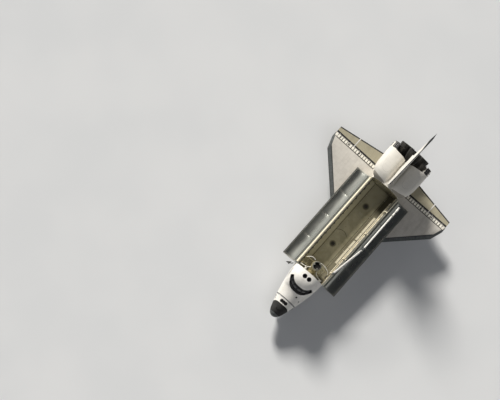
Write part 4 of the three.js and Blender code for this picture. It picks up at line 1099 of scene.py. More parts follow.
def radiator_pipes(sign, body, spans):
    """Pipes along the panels' edges, and the standoffs of those that are fixed to the door."""
    pipes = Shape()
    low = arch_turn(RADIATOR_LOW) + 0.01
    for fore, aft in spans:
        for turn in (low, CROWN - 0.05):
            pipes.tube([on_arch(s, sign, turn, 7.3) for s in (fore + 1, aft - 1)], 0.7, 8)
        for s in (fore + 1.5, aft - 1.5):
            pipes.tube([on_arch(s, sign, turn, 7.0) for turn in steps(low, CROWN - 0.05, 26)], 0.6, 8)
    if body.endswith("door"):
        for s in (966, 1040, 1150, 1285):
            for turn in (0.82, 1.1, 1.42):
                pipes.tube([on_arch(s, sign, turn, inset) for inset in (3.6, 5.3)], 1.2, 10)
    put(pipes, f"radiator_pipes_{body}", stock("door_rim"), body, matrix=door_matrix(sign))


def bay_doors():
    for name, sign in SIDES:
        door, radiator = f"{name}_door", f"{name}_radiator"
        door_leaf(name, sign)
        door_inside(name, sign)
        panels = (("front", radiator, ()), ("second", radiator, [f"forward_radiator_{name}"]),
                  ("third", door, [f"aft_radiator_{name}"]), ("rear", door, ()))
        for ends, (label, body, solids) in zip(PANEL_ENDS, panels):
            radiator_panel(label, name, sign, *ends, body, solids)
        radiator_pipes(sign, radiator, PANEL_ENDS[:2])
        radiator_pipes(sign, door, PANEL_ENDS[2:])
        stalks = Shape()
        turn = arch_turn(RADIATOR_LOW) + 0.006
        for s in (640, 896):
            stalks.tube([on_arch(s, sign, turn, inset) for inset in (3.8, 5.75)], [1.5, 0.9], 12)
            stalks.tube([on_arch(t, sign, turn, 5.75) for t in span(s, 1.4)], 0.9, 12)
        put(stalks, f"radiator_stalks_{name}", stock("door_rim"), door, matrix=door_matrix(sign))


# Wings

# Section: side, the front edge's station and height, its bluntness, then the bulge and the arch behind it
WING = (
    (98, 545, 287, 5, 17, 12),
    (182, 1018, 292, 12, 9, 8),
    (313, 1149, 299, 11, 6, 6),
    (437, 1274, 305, 9, 3.5, 4),
    (464, 1352, 307, 5.5, 0, 1),
)
HINGE_STATION = 1397.0
WING_END = HINGE_STATION - 3
DIHEDRAL = math.tan(math.radians(3.5))
# Plan of the carbon leading edge: station and side
EDGE_OUTER = ((950, 190), (1000, 230), (1240, 470), (1384, 500))
EDGE_INNER = ((1384, 459), (1309, 431), (1070, 198), (1036, 166), (950, 148))
DIAGONAL = 0.7071


def hinge_height(side):
    return 286 + DIHEDRAL * (side - 105)


def hinge_half(side):
    return 12.6 - 0.0158 * (side - 105)


def wing_row(side):
    row = smooth_row(WING, side)
    k = max(i for i in range(len(WING) - 1) if WING[i][0] <= side) if side > WING[0][0] else 0
    a, b = WING[k], WING[k + 1]
    row[1] = a[1] + (b[1] - a[1]) * (side - a[0]) / (b[0] - a[0])
    return row


def wing_height(row, share, face):
    """The height of the upper (1) or lower (-1) face at a share of the way aft."""
    side, _, nose, blunt, bulge, arch = row
    half = hinge_half(side) * share + blunt * math.sqrt(share) * (1 - share) * 1.5
    half += bulge * math.sin(math.pi * share ** 1.25)
    return nose + (hinge_height(side) - nose) * share + arch * math.sin(math.pi * share) * 0.6 + face * half


def wing_top(station, side):
    row = wing_row(side)
    return wing_height(row, max(0.0, min(1.0, (station - row[1]) / (WING_END - row[1]))), 1)


def wing_ring(side, sign, count=40):
    row = wing_row(side)
    shares = [(i / count) ** 1.9 for i in range(count + 1)]

    def place(share, face):
        return spot(row[1] + (WING_END - row[1]) * share, sign * side, wing_height(row, share, face))
    return [place(s, 1) for s in shares] + [place(s, -1) for s in reversed(shares[1:])]


def wing_loft(sign):
    sides = steps(98, 182, 10) + steps(182, 313, 12)[1:] + steps(313, 437, 12)[1:] + steps(437, 464, 6)[1:]
    return Shape().loft([wing_ring(side, sign) for side in sides])


def edge_zone(sign, grow):
    """All that lies over and under the plan of the carbon leading edge."""
    ring = []
    for i, (s, y) in enumerate(EDGE_OUTER + EDGE_INNER):
        spread = -grow if s < 1000 else grow if s > 1380 else 0
        ring.append((s + spread, sign * (y - (1.5 * grow if i >= len(EDGE_OUTER) else 0))))
    return Shape().loft([[spot(s, y, z) for s, y in ring] for z in (240, 360)])


def hinge_cove(sign):
    path = [spot(HINGE_STATION, sign * side, hinge_height(side)) for side in (100, 470)]
    return Shape().tube(path, [hinge_half(100) - 0.3, hinge_half(470) - 0.3], 48)


def wing_paint():
    """Warm white felt and tiles above, black tiles below and along the front."""
    paint = Paint("wing_tile", "cdc8bf", 0.75)
    station, out = paint.station, paint.out
    paint.weather("aca79d", "d1cec6", 0.45)
    paint.mix(paint.cells((24, 20, 400)).ramp(0.2, 1, 0, 0.25), "b4afa6")
    paint.joints(station.lines(24, 0.45), paint.side.lines(20, 0.45), 0.35, "8b8474", 0.1)
    # Black tiles ahead of a line a little behind the leading edge
    front = (station - out).under(854) * out.over(182)
    glove = (station - out * 5.63).under(8) * out.under(182)
    under = paint.normal()[2].under(-0.05)
    paint.tiles(under.either(front).either(glove), "1d1d1e", "303032", sizes=(6, 6, 60))
    return paint.material


def edge_paint():
    """Carbon leading edge in panels, with darker seams and borders."""
    paint = patchy("carbon_leading_edge", *PATCHY["carbon"])
    behind = paint.station - paint.out
    paint.mix((paint.station + paint.out).lines(31, 1.1) * 0.85, "232423")
    paint.mix(behind.over(867) * paint.station.under(1300) * 0.6, "2c2d2c")
    paint.mix(behind.under(843) * 0.5, "3a3b3a")
    return paint.material


def elevon_paint():
    """Sand-coloured skin above, black below, black along the hinge and the trailing edge."""
    paint = Paint("elevon_skin", "a19a84", 0.7, row=True)
    paint.weather("88816d", "b0aa95", 0.45)
    paint.joints(paint.side.lines(33, 0.5), paint.station.line(1432, 0.5), 0.5, "746b55", 0.1)
    tail = (paint.station + paint.out * 0.1773).over(1510)
    under = paint.normal()[2].under(-0.05)
    paint.tiles(paint.station.under(1406).either(tail).either(under), "19191a", "2a2a2c", 0.4, (6, 6, 60))
    return paint.material


def edge_gaps(edge, sign):
    """Cuts the gaps between the carbon panels, square to the swept edge."""
    along, across = (Vector((way * DIAGONAL, sign * DIAGONAL, 0)) for way in (-1, 1))
    outline = ((-30, -0.16), (45, -0.16), (45, 0.16), (-30, 0.16))
    for k in range(14):
        run = (24 + 27.6 * k) * DIAGONAL
        middle = spot(1010 + run, sign * (168 + run), 0)
        rings = [[middle + across * u + along * v + UP * z for u, v in outline] for z in (240, 360)]
        carve(edge, Shape().loft(rings))


def hinge_row(name, sign):
    """The row of hinged panels ahead of the elevons, on a dark strip."""
    strip, plates, knobs = Shape(), Shape(), Shape()
    first, last, count = 130, 460, 17
    section = ((1365, 0.35), (1392, 0.35), (1392, -0.3), (1365, -1))
    strip.loft([[spot(s, sign * side, wing_top(s, side) + rise) for s, rise in section]
                for side in steps(first, last, 24)])
    width = (last - first) / count
    for k in range(count):
        rings = []
        for side in (first + k * width + 2.2, first + (k + 1) * width - 2.2):
            fore, aft = (spot(s, sign * side, wing_top(s, side) + 0.95) for s in (1370, 1391))
            rings.append([fore, aft, aft - UP, fore - UP])
        plates.loft(rings)
    for side in (170, 262, 352, 420):
        top = wing_top(1380, side)
        knobs.box((1371, 1389), span(side, 3), (top + 0.7, top + 1.9), sign)
    put(strip, f"hinge_strip_{name}", stock("seal_dark"))
    put(plates, f"hinge_panels_{name}", stock("hinge_panel"), soft=(0.25, 1))
    put(knobs, f"hinge_fittings_{name}", stock("seal_dark"), soft=(0.3, 1))


def wings():
    wing_skin, edge_skin, elevon_skin = wing_paint(), edge_paint(), elevon_paint()
    for name, sign in SIDES:
        wing = wing_loft(sign).build(f"wing_skin_{name}", [wing_skin])
        edge = wing_loft(sign).build(f"edge_skin_{name}", [edge_skin])
        carve(wing, hinge_cove(sign))
        carve(wing, edge_zone(sign, 0.35))
        carve(wing, Shape().box((1036, 1196), (110, 163), (240, 307), sign))
        finished(wing, replaces=[f"wing_{name}"], sharp=30)
        carve(edge, edge_zone(sign, 0), "INTERSECT")
        edge_gaps(edge, sign)
        finished(edge, replaces=[f"leading_edge_{name}"], sharp=30)
        hinge_row(name, sign)
        # The fixed stub between the two elevons, and the lugs that carry them
        section = ((1370, 9.5), (1400, 10.5), (1463, 3), (1463, -3), (1400, -10.5), (1370, -9.5))
        stub = Shape().loft([[spot(s, sign * side, hinge_height(side) + h) for s, h in section]
                             for side in (313.7, 316.9)])
        put(stub, f"wing_stub_{name}", white(), soft=(0.5, 2))
        lugs = Shape()
        for inner, outer in ((112, 312), (318.5, 461)):
            for share in (0.2, 0.8):
                side = inner + share * (outer - inner)
                height = hinge_height(side)
                lugs.box((WING_END - 18, HINGE_STATION), span(side, 2.5), span(height, 2.4), sign)
                lugs.tube([spot(HINGE_STATION, sign * y, height) for y in span(side, 2.5)], 2.6, 20)
        put(lugs, f"elevon_lugs_{name}", stock("gear_steel"))
        repaint(elevon_skin, f"inboard_elevon_{name}", f"outboard_elevon_{name}")


# Tail

# Engine pod: station, outer side, bottom and top
POD = (
    (1309, 101, 440, 495),
    (1318, 113, 424, 508),
    (1335, 127, 414, 518),
    (1362, 141, 408, 527),
    (1410, 149, 405, 533),
    (1480, 151, 405, 536),
    (1540, 150, 407, 536),
    (1566, 148, 412, 532),
)
POD_INNER, POD_STEP = 17, 113
# Main engines: name, gimbal's place, degrees up and degrees to port
ENGINES = (
    ("upper", (1445, 0, 443), (16, 0)),
    ("port_lower", (1468, 53, 342.6), (10, 3.5)),
    ("starboard_lower", (1468, -53, 342.6), (10, -3.5)),
)
BELL_START, BELL_LENGTH = 44, 113
# Bands round a main engine's bell: distance, rise and half width
BELL_BANDS = ((14, 1.4, 1.1), (26, 1.2, 0.8), (37, 1.2, 0.8), (47, 1.2, 0.8), (57, 1.1, 0.8), (67, 1.1, 0.8),
              (78, 1.1, 0.8), (90, 1.1, 0.8), (101, 1.0, 0.8))
FLAP_LUGS = (-84, 0, 84)


def aft_body():
    """The aft fuselage, a little larger than its skin."""
    rings = skin_rings(steps(1300, 1500, 20), -0.05)
    rings.append(skin_ring([1512.05, *smooth_row(SKIN, 1500)[1:]], 9.95))
    return Shape().loft(rings)


def pod_loft(sign):
    rings = []
    for s in steps(1309, 1366, 14) + steps(1366, 1566, 20)[1:]:
        _, outer, low, top = smooth_row(POD, s)
        middle, half = (outer + POD_INNER) / 2, (outer - POD_INNER) / 2
        centre, rise = (low + top) / 2, (top - low) / 2
        ring = []
        for i in range(80):
            turn = 2 * math.pi * (i + 0.5) / 80
            side = middle + half * power(math.cos(turn), 0.8)
            ring.append(spot(s, sign * side, centre + rise * power(math.sin(turn), 0.8)))
        rings.append(ring)
    return Shape().loft(rings)


def bell_profile(throat, wide, length, wall, shade=1.9, count=22):
    """An engine bell's profile for lathe, and its radius by distance."""
    def curve(d):
        return throat + (wide - throat) * (1 - (1 - d / length) ** shade)
    outer = [[curve(length * i / count), length * i / count] for i in range(count + 1)]
    inner = [[max(r - wall, 0.5), d] for r, d in reversed(outer[1:])]
    rim = [[outer[-1][0] + 0.4, length + 0.5], [outer[-1][0] - wall, length + 0.5]]
    return [[0, 0], *outer, *rim, *inner, [throat * 0.35, length * 0.1], [0, length * 0.1]], curve


def engine_aim(up, out):
    up, out = math.radians(up), math.radians(out)
    return Vector((-math.cos(up) * math.cos(out), math.cos(up) * math.sin(out), math.sin(up)))


def upper_bell_room():
    """The room that the upper engine's bell needs in the pods and the fin."""
    _, place, tilt = ENGINES[0]
    profile = [[0, 44], [34, 44], [49, 100], [53, 180], [0, 180]]
    return Shape().lathe(profile, spot(*place), engine_aim(*tilt), 48)


def spokes(aim, count, start=0.0):
    """Directions square to an engine's line, evenly round it."""
    across = aim.cross(TO_PORT).normalized()
    return circle(Vector(), across, aim.cross(across), 1, count, start)


def engines():
    steel = stock("nozzle_steel")
    for name, place, tilt in ENGINES:
        start, aim = spot(*place), engine_aim(*tilt)
        centre = start + aim * BELL_START
        profile, curve = bell_profile(14, 47, BELL_LENGTH, 3)
        bell = Shape().lathe(profile, centre, aim, 96).build(f"{name}_bell", [steel, stock("nozzle_soot")])
        for face in bell.data.polygons:
            p = Vector(face.center) / IN - centre
            d = p.dot(aim)
            inside = (p - aim * d).length < curve(max(0.0, min(BELL_LENGTH, d))) - 1.4
            face.material_index = 1 if inside else 0
        finished(bell, replaces=[f"{name}_engine"], sharp=40)
        bands = Shape()
        for d, rise, half in BELL_BANDS:
            a, b = span(d, half)
            bands.lathe([[curve(a) - 0.5, a], [curve(a) + rise, a + 0.3], [curve(b) + rise, b - 0.3],
                         [curve(b) - 0.5, b]], centre, aim, 72, True)
        for way in spokes(aim, 9):
            bands.tube([centre + aim * d + way * (curve(d) + 1.5) for d in steps(4, 111, 14)], 1.0, 8)
        put(bands, f"{name}_bell_bands", steel)
        dome = [[0, 10], [40, 10], [40.4, 30]]
        for k in range(13):
            turn = math.pi / 2 * k / 12
            dome.append([14 + 26 * math.cos(turn), 32 + 17 * math.sin(turn)])
        shield = Shape().lathe(dome + [[0, 49]], start + aim * 8, aim, 64)
        for way in spokes(aim, 12, 0.5):
            shield.tube([start + aim * (8 + d) + way * (r + 0.3) for r, d in dome[2:]], 0.7, 6)
        put(shield, f"{name}_dome", stock("dome_cloth"))


def aft_paint():
    """White blankets on the sides, dark tiles on the belly and the base."""
    paint = Paint("aft_hull", "d6d1c6", 0.78)
    station, side, height = paint.station, paint.side, paint.height
    paint.weather("bab4a7", "e1ded7", 0.4)
    paint.joints(station.lines(29, 0.5), height.lines(24, 0.5), 0.45, "8d8980", 0.1)
    facing = paint.normal()[0]
    base = facing.under(-0.5) * station.over(1480)
    paint.tiles(height.under(292).either(base).either(station.over(1500.5)), "222123", "343335")
    wall = facing.over(0.7) * station.under(1312)
    paint.mix(wall, "8f876c")
    paint.mix(wall * paint.noise(30, 4).ramp(0.4, 0.7), "766e55")
    paint.mix(wall * side.lines(18, 0.7).either(height.lines(15.3, 0.7)) * 0.7, "4a4433")
    return paint.material


def aft_hull():
    end = smooth_row(SKIN, 1500)[1:]
    rings = skin_rings(steps(1307.3, 1500, 24))
    rings += [skin_ring([s, *end], inset) for s, inset in ((1501, 2.5), (1512, 9.5), (1512.6, 11))]
    hull = Shape().loft(rings).build("aft_skin", [aft_paint()])
    shelf = ((-109, 276), (-109, 297), (-106, 299), (106, 299),
             (109, 297), (109, 276), (106, 275), (-106, 275))
    carve(hull, Shape().bar(shelf, (1490, 1523.5)), "UNION")
    for _, place, tilt in ENGINES:
        aim = engine_aim(*tilt)
        carve(hull, Shape().lathe(drum(40.3, 100), spot(*place) + aim * 18, aim, 64))
    finished(hull, replaces=["aft_fuselage"], sharp=28)
    lugs = Shape()
    for side in FLAP_LUGS:
        lugs.box((1510, 1533), span(side, 2.5), (285.6, 290.4))
        lugs.tube([spot(1533, y, 288) for y in span(side, 2.5)], 2.6, 20)
    put(lugs, "flap_lugs", stock("gear_steel"))


def aft_wall():
    """Stiffeners, lamps and a cable run on the bay's aft wall, clear of the shut doors."""
    things = Shape()
    for side in (-72, -36, 0, 36, 72):
        foot = 306 + max(0, abs(side) - 58) * SLOPE
        things.box((1303.8, 1307.2), span(side, 1.3), (foot + 1, skin_top(1307, side) - 13))
    for height, reach in ((340, 80), (386, 91), (432, 84)):
        things.box((1304.6, 1307.2), (-reach, reach), span(height, 1.2))
    for side in (-54, 54):
        things.box((1302.5, 1307.2), span(side, 8), (356, 372))
        things.lathe([[0, 0], [3.4, 0], [3.4, 2.6], [2.4, 3.6], [0, 3.6]], spot(1306, side, 412), FORE, 24)
    cable = ((-46, 364), (-20, 362), (-18, 350), (18, 348), (20, 362), (46, 364))
    things.tube([spot(1305.4, y, z) for y, z in cable], 1.0, 10)
    put(things, "aft_wall_frames", liner(), soft=(0.3, 1))


def pod_paint():
    """Bright white pods whose rear ends are dark, with painted shade on their forward-facing fronts."""
    paint = Paint("pod_blanket", "dcd8cf", 0.72)
    station, height, out = paint.station, paint.height, paint.out
    paint.weather("bcb8ae", "dddad3")
    paint.joints(station.lines(26, 0.5), height.lines(22, 0.5), 0.35, "a09b90", 0.1)
    x, _, z = paint.normal()
    # Painted shade: faces that look forward at the pods' fronts are greyed
    paint.mix(x.over(0.55) * station.under(1345) * 0.85, "8c857a")
    rear = x.under(-0.6).either(station.over(1561))
    rear_top = station.over(1522) * z.over(0.3) * out.under(142)
    strips = out.lines(9, 1.4) * out.over(118) * station.between(1526, 1560) * 0.5
    wells = station.between(1522, 1562) * out.between(122, 134) * height.between(512, 531) * z.under(0.6)
    paint.tiles(rear.either(rear_top * strips.outside()).either(wells), "242325", "363537")
    return paint.material


def pods():
    skin, soot = pod_paint(), stock("nozzle_soot")
    for name, sign in SIDES:
        pod = pod_loft(sign).build(f"pod_skin_{name}", [skin, soot])
        carve(pod, aft_body())
        aim = Vector((-math.cos(0.276), sign * math.sin(0.113), math.sin(0.276)))
        burner = spot(1519, sign * 88, 492)
        carve(pod, Shape().lathe([[0, 0], [13, 0], [20, 16], [30, 60], [0, 60]], burner, aim, 48))
        carve(pod, upper_bell_room())
        # The rear is cut back as far out as the step
        rings = []
        for inner, outer in ((1507, 1519), (1600, 1600)):
            corners = ((inner, 0, 380), (outer, POD_STEP, 380), (outer, POD_STEP, 560), (inner, 0, 560))
            rings.append([spot(s, sign * y, z) for s, y, z in corners])
        carve(pod, Shape().loft(rings))
        # Small thrusters at the rear outer corner
        jets = Shape()
        inwards = Vector((0, -sign, 0))
        for station, height in ((1532, 452), (1532, 486), (1548, 452), (1548, 486)):
            start = spot(station, sign * 152, height)
            carve(pod, Shape().lathe(drum(4.2, 7, 0, 3), start, inwards, 28))
            jets.lathe(pipe(3.9, 4.8, 2.6, 0.6), start + inwards * 0.4, inwards, 28, True)
        for station in (1530, 1543, 1556):
            carve(pod, Shape().lathe(drum(3.8, 8, 0, 2.8), spot(station, sign * 128, 527.5), -UP, 28))
        for height in (452, 480):
            start = spot(1567, sign * 122, height)
            carve(pod, Shape().lathe(drum(4.2, 7, 0, 3), start, FORE, 28))
            jets.lathe(pipe(3.9, 4.8, 2.6, 0.4), start, FORE, 28, True)
        finished(pod, replaces=[f"engine_pod_{name}"], sharp=30)
        put(jets, f"pod_jets_{name}", soot)
        profile, curve = bell_profile(10, 21.5, 46, 1.5, 1.6, 16)
        bell = Shape().lathe(profile, burner, aim, 64)
        for d in (9, 18, 27, 36):
            r = curve(d)
            band = [[r - 0.4, d - 0.7], [r + 0.8, d - 0.5], [r + 0.8, d + 0.5], [r - 0.4, d + 0.7]]
            bell.lathe(band, burner, aim, 48, True)
        put(bell, f"pod_bell_{name}", stock("nozzle_steel"), replaces=[f"pod_engine_{name}"], sharp=40)


# Fin: heights of its foot and tip
FIN_FOOT, FIN_TIP = 503, 816
# Its front edge's station and its chord at the foot, and how much of the chord is lost by height
FIN_LEAD, FIN_CHORD, FIN_TAPER = 1280.8, 268.5, 0.507
# The rudder's hinge line, as a share of the chord, and the ends of its room
RUDDER_SHARE = 0.615
RUDDER_LOW, RUDDER_HIGH = 548.1, 811


def fin_section(height):
    """The front edge's station, the chord, and half the thickness by the share of the chord."""
    rise = height - FIN_FOOT
    lead, chord = FIN_LEAD + rise, FIN_CHORD - rise * FIN_TAPER
    thick = 0.052 * chord

    def half(share):
        if share < 0.6:
            return thick * math.sqrt(share / 0.6) ** 0.8
        return thick * (1 - (share - 0.6) / 0.4) + 0.4
    return lead, chord, half


def fin_hinge(height):
    lead, chord, _ = fin_section(height)
    return spot(lead + chord * RUDDER_SHARE, 0, height)


@functools.cache
def fin_paint(row=False):
    """White fin with black along its leading edge and a dark tip."""
    paint = Paint("fin_tile", "dad7cf", 0.75, row=row)
    station, height = paint.station, paint.height
    paint.weather("c0bbb0", "e5e3dd")
    paint.joints(station.lines(26, 0.45), height.lines(24, 0.45), 0.4, "8f8b82", 0.1)
    sweep = 1 - FIN_TAPER
    lead = station - height - (FIN_LEAD - FIN_FOOT)
    tail = station - height * sweep - (FIN_LEAD + FIN_CHORD - FIN_FOOT * sweep)
    paint.tiles(lead.under(5.5).either(height.over(792)).either(tail.over(-5)), "2a2b2d", "3b3c3e")
    return paint.material


def under_edge(height):
    """All that lies under the plane that crosses the rudder's hinge line squarely at a height."""
    station = -fin_hinge(height).x
    run = 1 - FIN_TAPER * RUDDER_SHARE
    outline = ((-300, 300 * run), (300, -300 * run), (300, -400), (-300, -400))
    return Shape().loft([[spot(station + s, y, height + z) for s, z in outline] for y in (-40, 40)])


def fin():
    shares = [(i / 16) ** 1.7 * 0.6 + 0.0008 for i in range(17)] + [0.7, 0.85, 1.0]
    rings = []
    for height in steps(FIN_FOOT, FIN_TIP - 1.5, 30) + [FIN_TIP]:
        lead, chord, half = fin_section(height)
        thin = 0.45 if height == FIN_TIP else 1.0
        port = [(lead + chord * s, half(s) * thin) for s in shares]
        rings.append([spot(s, y, height) for s, y in port]
                     + [spot(s, -y, height) for s, y in reversed(port)])
    blade = Shape().loft(rings).build("fin_skin", [fin_paint()])
    # Room for the rudder, whose front edge is round about its hinge line
    corners = []
    for h in (RUDDER_LOW, RUDDER_HIGH):
        lead, chord, half = fin_section(h)
        ahead = lead + chord * RUDDER_SHARE - 1.01 * half(RUDDER_SHARE)
        corners.append([spot(s, y, h) for s, y in ((ahead, -30), (1800, -30), (1800, 30), (ahead, 30))])
    opening = Shape().loft(corners).build("opening")
    heights = (RUDDER_LOW - 14, RUDDER_HIGH + 14)
    radii = [fin_section(h)[2](RUDDER_SHARE) + 0.35 for h in heights]
    round_room = Shape().tube([fin_hinge(h) for h in heights], radii, 48).build("round_room")
    carve(round_room, Shape().box((1300, 1800), (-30, 30), (RUDDER_LOW, RUDDER_HIGH)), "INTERSECT")
    for room in (opening, round_room):
        carve(room, under_edge(803.9), "INTERSECT")
        carve(blade, room)
    carve(blade, Shape().box((1200, 1322), (-40, 40), (480, 560)))
    carve(blade, upper_bell_room())
    finished(blade, replaces=["fin"], sharp=30)

    rings = []
    for h, tip, port in ((FIN_FOOT - 14, 1324, ((1330, 7), (1345, 13), (1500, 13), (1552, 8))),
                         (FIN_FOOT + 26, 1328, ((1335, 5), (1351, 9), (1500, 9), (1552, 5)))):
        rings.append([spot(tip, 0, h)] + [spot(s, y, h) for s, y in port]
                     + [spot(s, -y, h) for s, y in reversed(port)])
    root = Shape().loft(rings).build("fin_root", [fin_paint()])
    barrel = [[0, 0], [9.5, 0], [11, 1.5], [11, 58.5], [9.5, 60], [0, 60]]
    carve(root, Shape().lathe(barrel, spot(1500, 0, 537), AFT, 40), "UNION")
    carve(root, upper_bell_room())
    finished(bevel(root, 0.8, 2), sharp=30)
    repaint(fin_paint(True), "rudder_port_half", "rudder_starboard_half")
    repaint(stock("gear_steel", True), "rudder_hinge")


def body_flap():
    """Dark flap with panel joints and rounded edges."""
    turns = [math.radians(t) for t in (180, 157, 135, 112, 90)]
    edge = [(1533 + 8 * math.cos(t), 7.5 * math.sin(t)) for t in turns]
    rings = []
    for side in (-119.8, *steps(-119, 119, 16), 119.8):
        thin = 0.9 if abs(side) > 119.5 else 1.0
        upper = [(s, h * thin) for s, h in (*edge, (1552, 6.2), (1580, 4.1), (1611, 1.2))] + [(1612, 0.4)]
        rings.append([spot(s, side, 288 + h) for s, h in upper]
                     + [spot(s, side, 288 - h) for s, h in reversed(upper[1:])])
    flap = Shape().loft(rings).build("flap_skin", [black()])
    for sides, half, stations in ((FLAP_LUGS, 2.8, (1500, 1538)), ((-60, -28, 28, 60), 0.2, (1545, 1620))):
        for side in sides:
            carve(flap, Shape().box(stations, span(side, half), (270, 310)))
    finished(flap, "body_flap", ["body_flap"], 30)


# Docking port

DOCK = spot(648, 0, 452)
# Pale hoses that arch from the airlock to both sills
HOSES = (
    ((676, -6, 446), (681, 26, 440), (676, 56, 436), (663, 83, 424), (652, 89, 411)),
    ((674, -30, 436), (677, -52, 436), (667, -72, 428), (655, -84, 414)),
    ((600, -88, 414), (604, -60, 424), (612, -36, 430), (624, -24, 434)),
    ((598, 86, 413), (600, 60, 424), (606, 40, 428), (620, 22, 434)),
)
# A docking guide's cross sections: radius, height and half width
GUIDE = ((24.8, 17, 8.2), (24.2, 20, 7.4), (22.2, 23.5, 5.6), (19.2, 26.5, 3.8), (16.6, 28.4, 2.2))


def around(radius, turn, height):
    """A place on a level circle about the docking axis, with the turn in degrees."""
    t = math.radians(turn)
    return DOCK + Vector((radius * math.cos(t), radius * math.sin(t), height))


def docking():
    gold, steel = stock("gold_cloth"), stock("dock_metal")
    profile = [[0, -103.5], [23.5, -103.5], [26, -102], [31, -94]]
    for d in range(-88, -12, 12):
        profile += [[30.6, d - 5], [30.9, d], [30.6, d + 5], [30.1, d + 6]]
    profile += [[31, -9], [30, -6], [24, -0.4], [0, -0.4]]
    barrel = Shape().lathe(profile, DOCK, UP, 64)
    tunnel = []
    for k in range(11):
        tunnel += [[23.4, 0.2 + 4.4 * k], [25, 2 + 4.4 * k]]
    barrel.lathe([[0, 0.1], *tunnel, [24, 60], [0, 60]], spot(582.4, 0, 384), AFT, 48)
    put(barrel, "docking_barrel", gold, replaces=["docking_airlock"], sharp=40)

    truss = Shape()
    for s in DOCK_BRIDGES:
        truss.tube([spot(s, -91, 408), spot(s, 91, 408)], 2.6, 16)
        for sign in (-1, 1):
            truss.box(span(s, 4), (93.3, 99), (400.5, 405), sign)
            truss.box(span(s, 3), (93.6, 98.7), (405, 411.6), sign)
            truss.tube([spot(s, sign * y, 408) for y in (85, 95)], 2, 16)
            truss.tube([spot(s, sign * 88, 407), spot(s, sign * 30, 372)], 1.7, 12)
            truss.lathe(pipe(2.2, 3.6, 5), spot(s, sign * 80, 408), (0, sign, 0), 24, True)
    fore, aft = DOCK_BRIDGES
    for side in (-62, 62):
        truss.tube([spot(fore, side, 408), spot(aft, side, 408)], 1.7, 12)
        truss.tube([spot(fore, side, 408), spot(aft, side / 2, 408)], 1.1, 10)
    put(truss, "docking_truss", stock("truss_cloth"), soft=(0.2, 1))

    profile = [[22, 6], [22, 15], [26, 15], [26.6, 14.4], [26.6, 10], [29, 8], [29.4, 7], [29.4, 0.6],
               [28.6, 0.1], [0, 0.1], [0, 6]]
    collar = Shape().lathe(profile, DOCK, UP, 96)
    for k in range(24):
        collar.lathe(drum(0.8, 0.8), around(27.8, 15 * k, 8.4), UP, 6)
    for k in range(12):
        turn = 30 * k + 9
        collar.block(around(24.3, turn, 15.6), turn, (2.2, 3.0, 1.6))
    put(collar, "docking_flange", steel, replaces=["docking_collar"], sharp=40)
    well = [[0, 6.1], [21.8, 6.1], [21.8, 14], [20.6, 14], [20, 7.4], [6, 6.9], [5, 9], [0, 9.4]]
    put(Shape().lathe(well, DOCK, UP, 64), "docking_well", stock("nozzle_soot"), sharp=40)

    profile = [[22.6, 15.05], [26.6, 15.05], [27, 15.4], [27, 17.6], [26.6, 18], [22.8, 18], [22.6, 17.6]]
    ring = Shape().lathe(profile, DOCK, UP, 96, True)
    for k in range(3):
        turn = 120 * k - math.degrees(0.4) + 180
        rows = []
        for radius, rise, half in GUIDE:
            left, right = span(turn, half * 57.3 / radius)
            rows.append([around(radius, left, rise), around(radius, right, rise),
                         around(radius - 1.1, right, rise - 0.5), around(radius - 1.1, left, rise - 0.5)])
        ring.loft(rows)
    for k in range(6):
        ring.tube([around(25.6, 60 * k + 8, 14.8), around(24.6, 60 * k + 30, 9)], 0.7, 10)
    for k in range(3):
        turn = 120 * k + 95
        ring.block(around(25.2, turn, 19), turn, (2.4, 4.2, 2.2))
    put(ring, "docking_guides", steel, replaces=["docking_ring"], sharp=40)
    docking_fittings(gold)


def docking_fittings(gold):
    """Handrails, boxes and hoses round the airlock."""
    rails, pipes, boxes, white_boxes = Shape(), Shape(), Shape(), Shape()
    for turn in (20, 90, 160, 200, 270, 340):
        path = ((31, -24), (33.6, -21), (33.6, -7), (30.5, -4))
        rails.tube([around(radius, turn, height) for radius, height in path], 0.55, 8)
    for turn, low, high in ((60, -60, -12), (120, -70, -20), (240, -60, -14), (300, -66, -16)):
        rails.tube([around(33.4, turn, height) for height in (low, high)], 0.7, 8)
    for hose in HOSES:
        rows = [(t, *place) for t, place in enumerate(hose)]
        pipes.tube([spot(*smooth_row(rows, t)[1:]) for t in steps(0, len(rows) - 1, 24)], 1.6, 12)
    boxes.block(spot(611, -84, 407), 0, (9, 10, 12))
    boxes.block(spot(653, -86, 408), 0, (9, 8, 12))
    white_boxes.block(spot(592, 75, 412), 0, (9, 16, 14))
    white_boxes.block(spot(597, -44, 410), 0, (12, 12, 12))
    put(pipes, "docking_hoses", stock("hose_white"), sharp=50)
    put(rails, "docking_rails", stock("pale_fitting"), sharp=50)
    put(boxes, "docking_boxes", gold, soft=(0.7, 2))
    put(white_boxes, "bay_boxes", stock("box_white"), soft=(0.7, 2))


# Cargo arm

ARM_REACH, ARM_UPPER, ARM_LOWER = 43.2, 251, 278
ARM_FOOT = spot(679.5, 0, 0)
CRADLE = CRAFT @ moved(spot(0, 93, 403.5)) @ turned(-19.48, "X")
SHOULDER = CRADLE @ moved(ARM_FOOT + UP * ARM_REACH) @ turned(25, "Y")
ELBOW = SHOULDER @ moved(spot(ARM_UPPER, 0, 0)) @ turned(-25, "Y")


@functools.cache
def arm_blanket():
    """White cloth sleeves with seams round the tube."""
    paint = Paint("arm_blanket", "f0eee7", 0.7)
    paint.stain(12, 4, 0.45, 0.75, 0.4, "cdc9bf", (2, 1, 1))
    seams = paint.station.lines(19, 0.5)
    paint.mix(seams * 0.7, "87847b")
    paint.relief(paint.noise(2.2, 4, (0.6, 1, 1)), 0.3)
    paint.relief(seams.outside(), 0.12)
    return paint.material


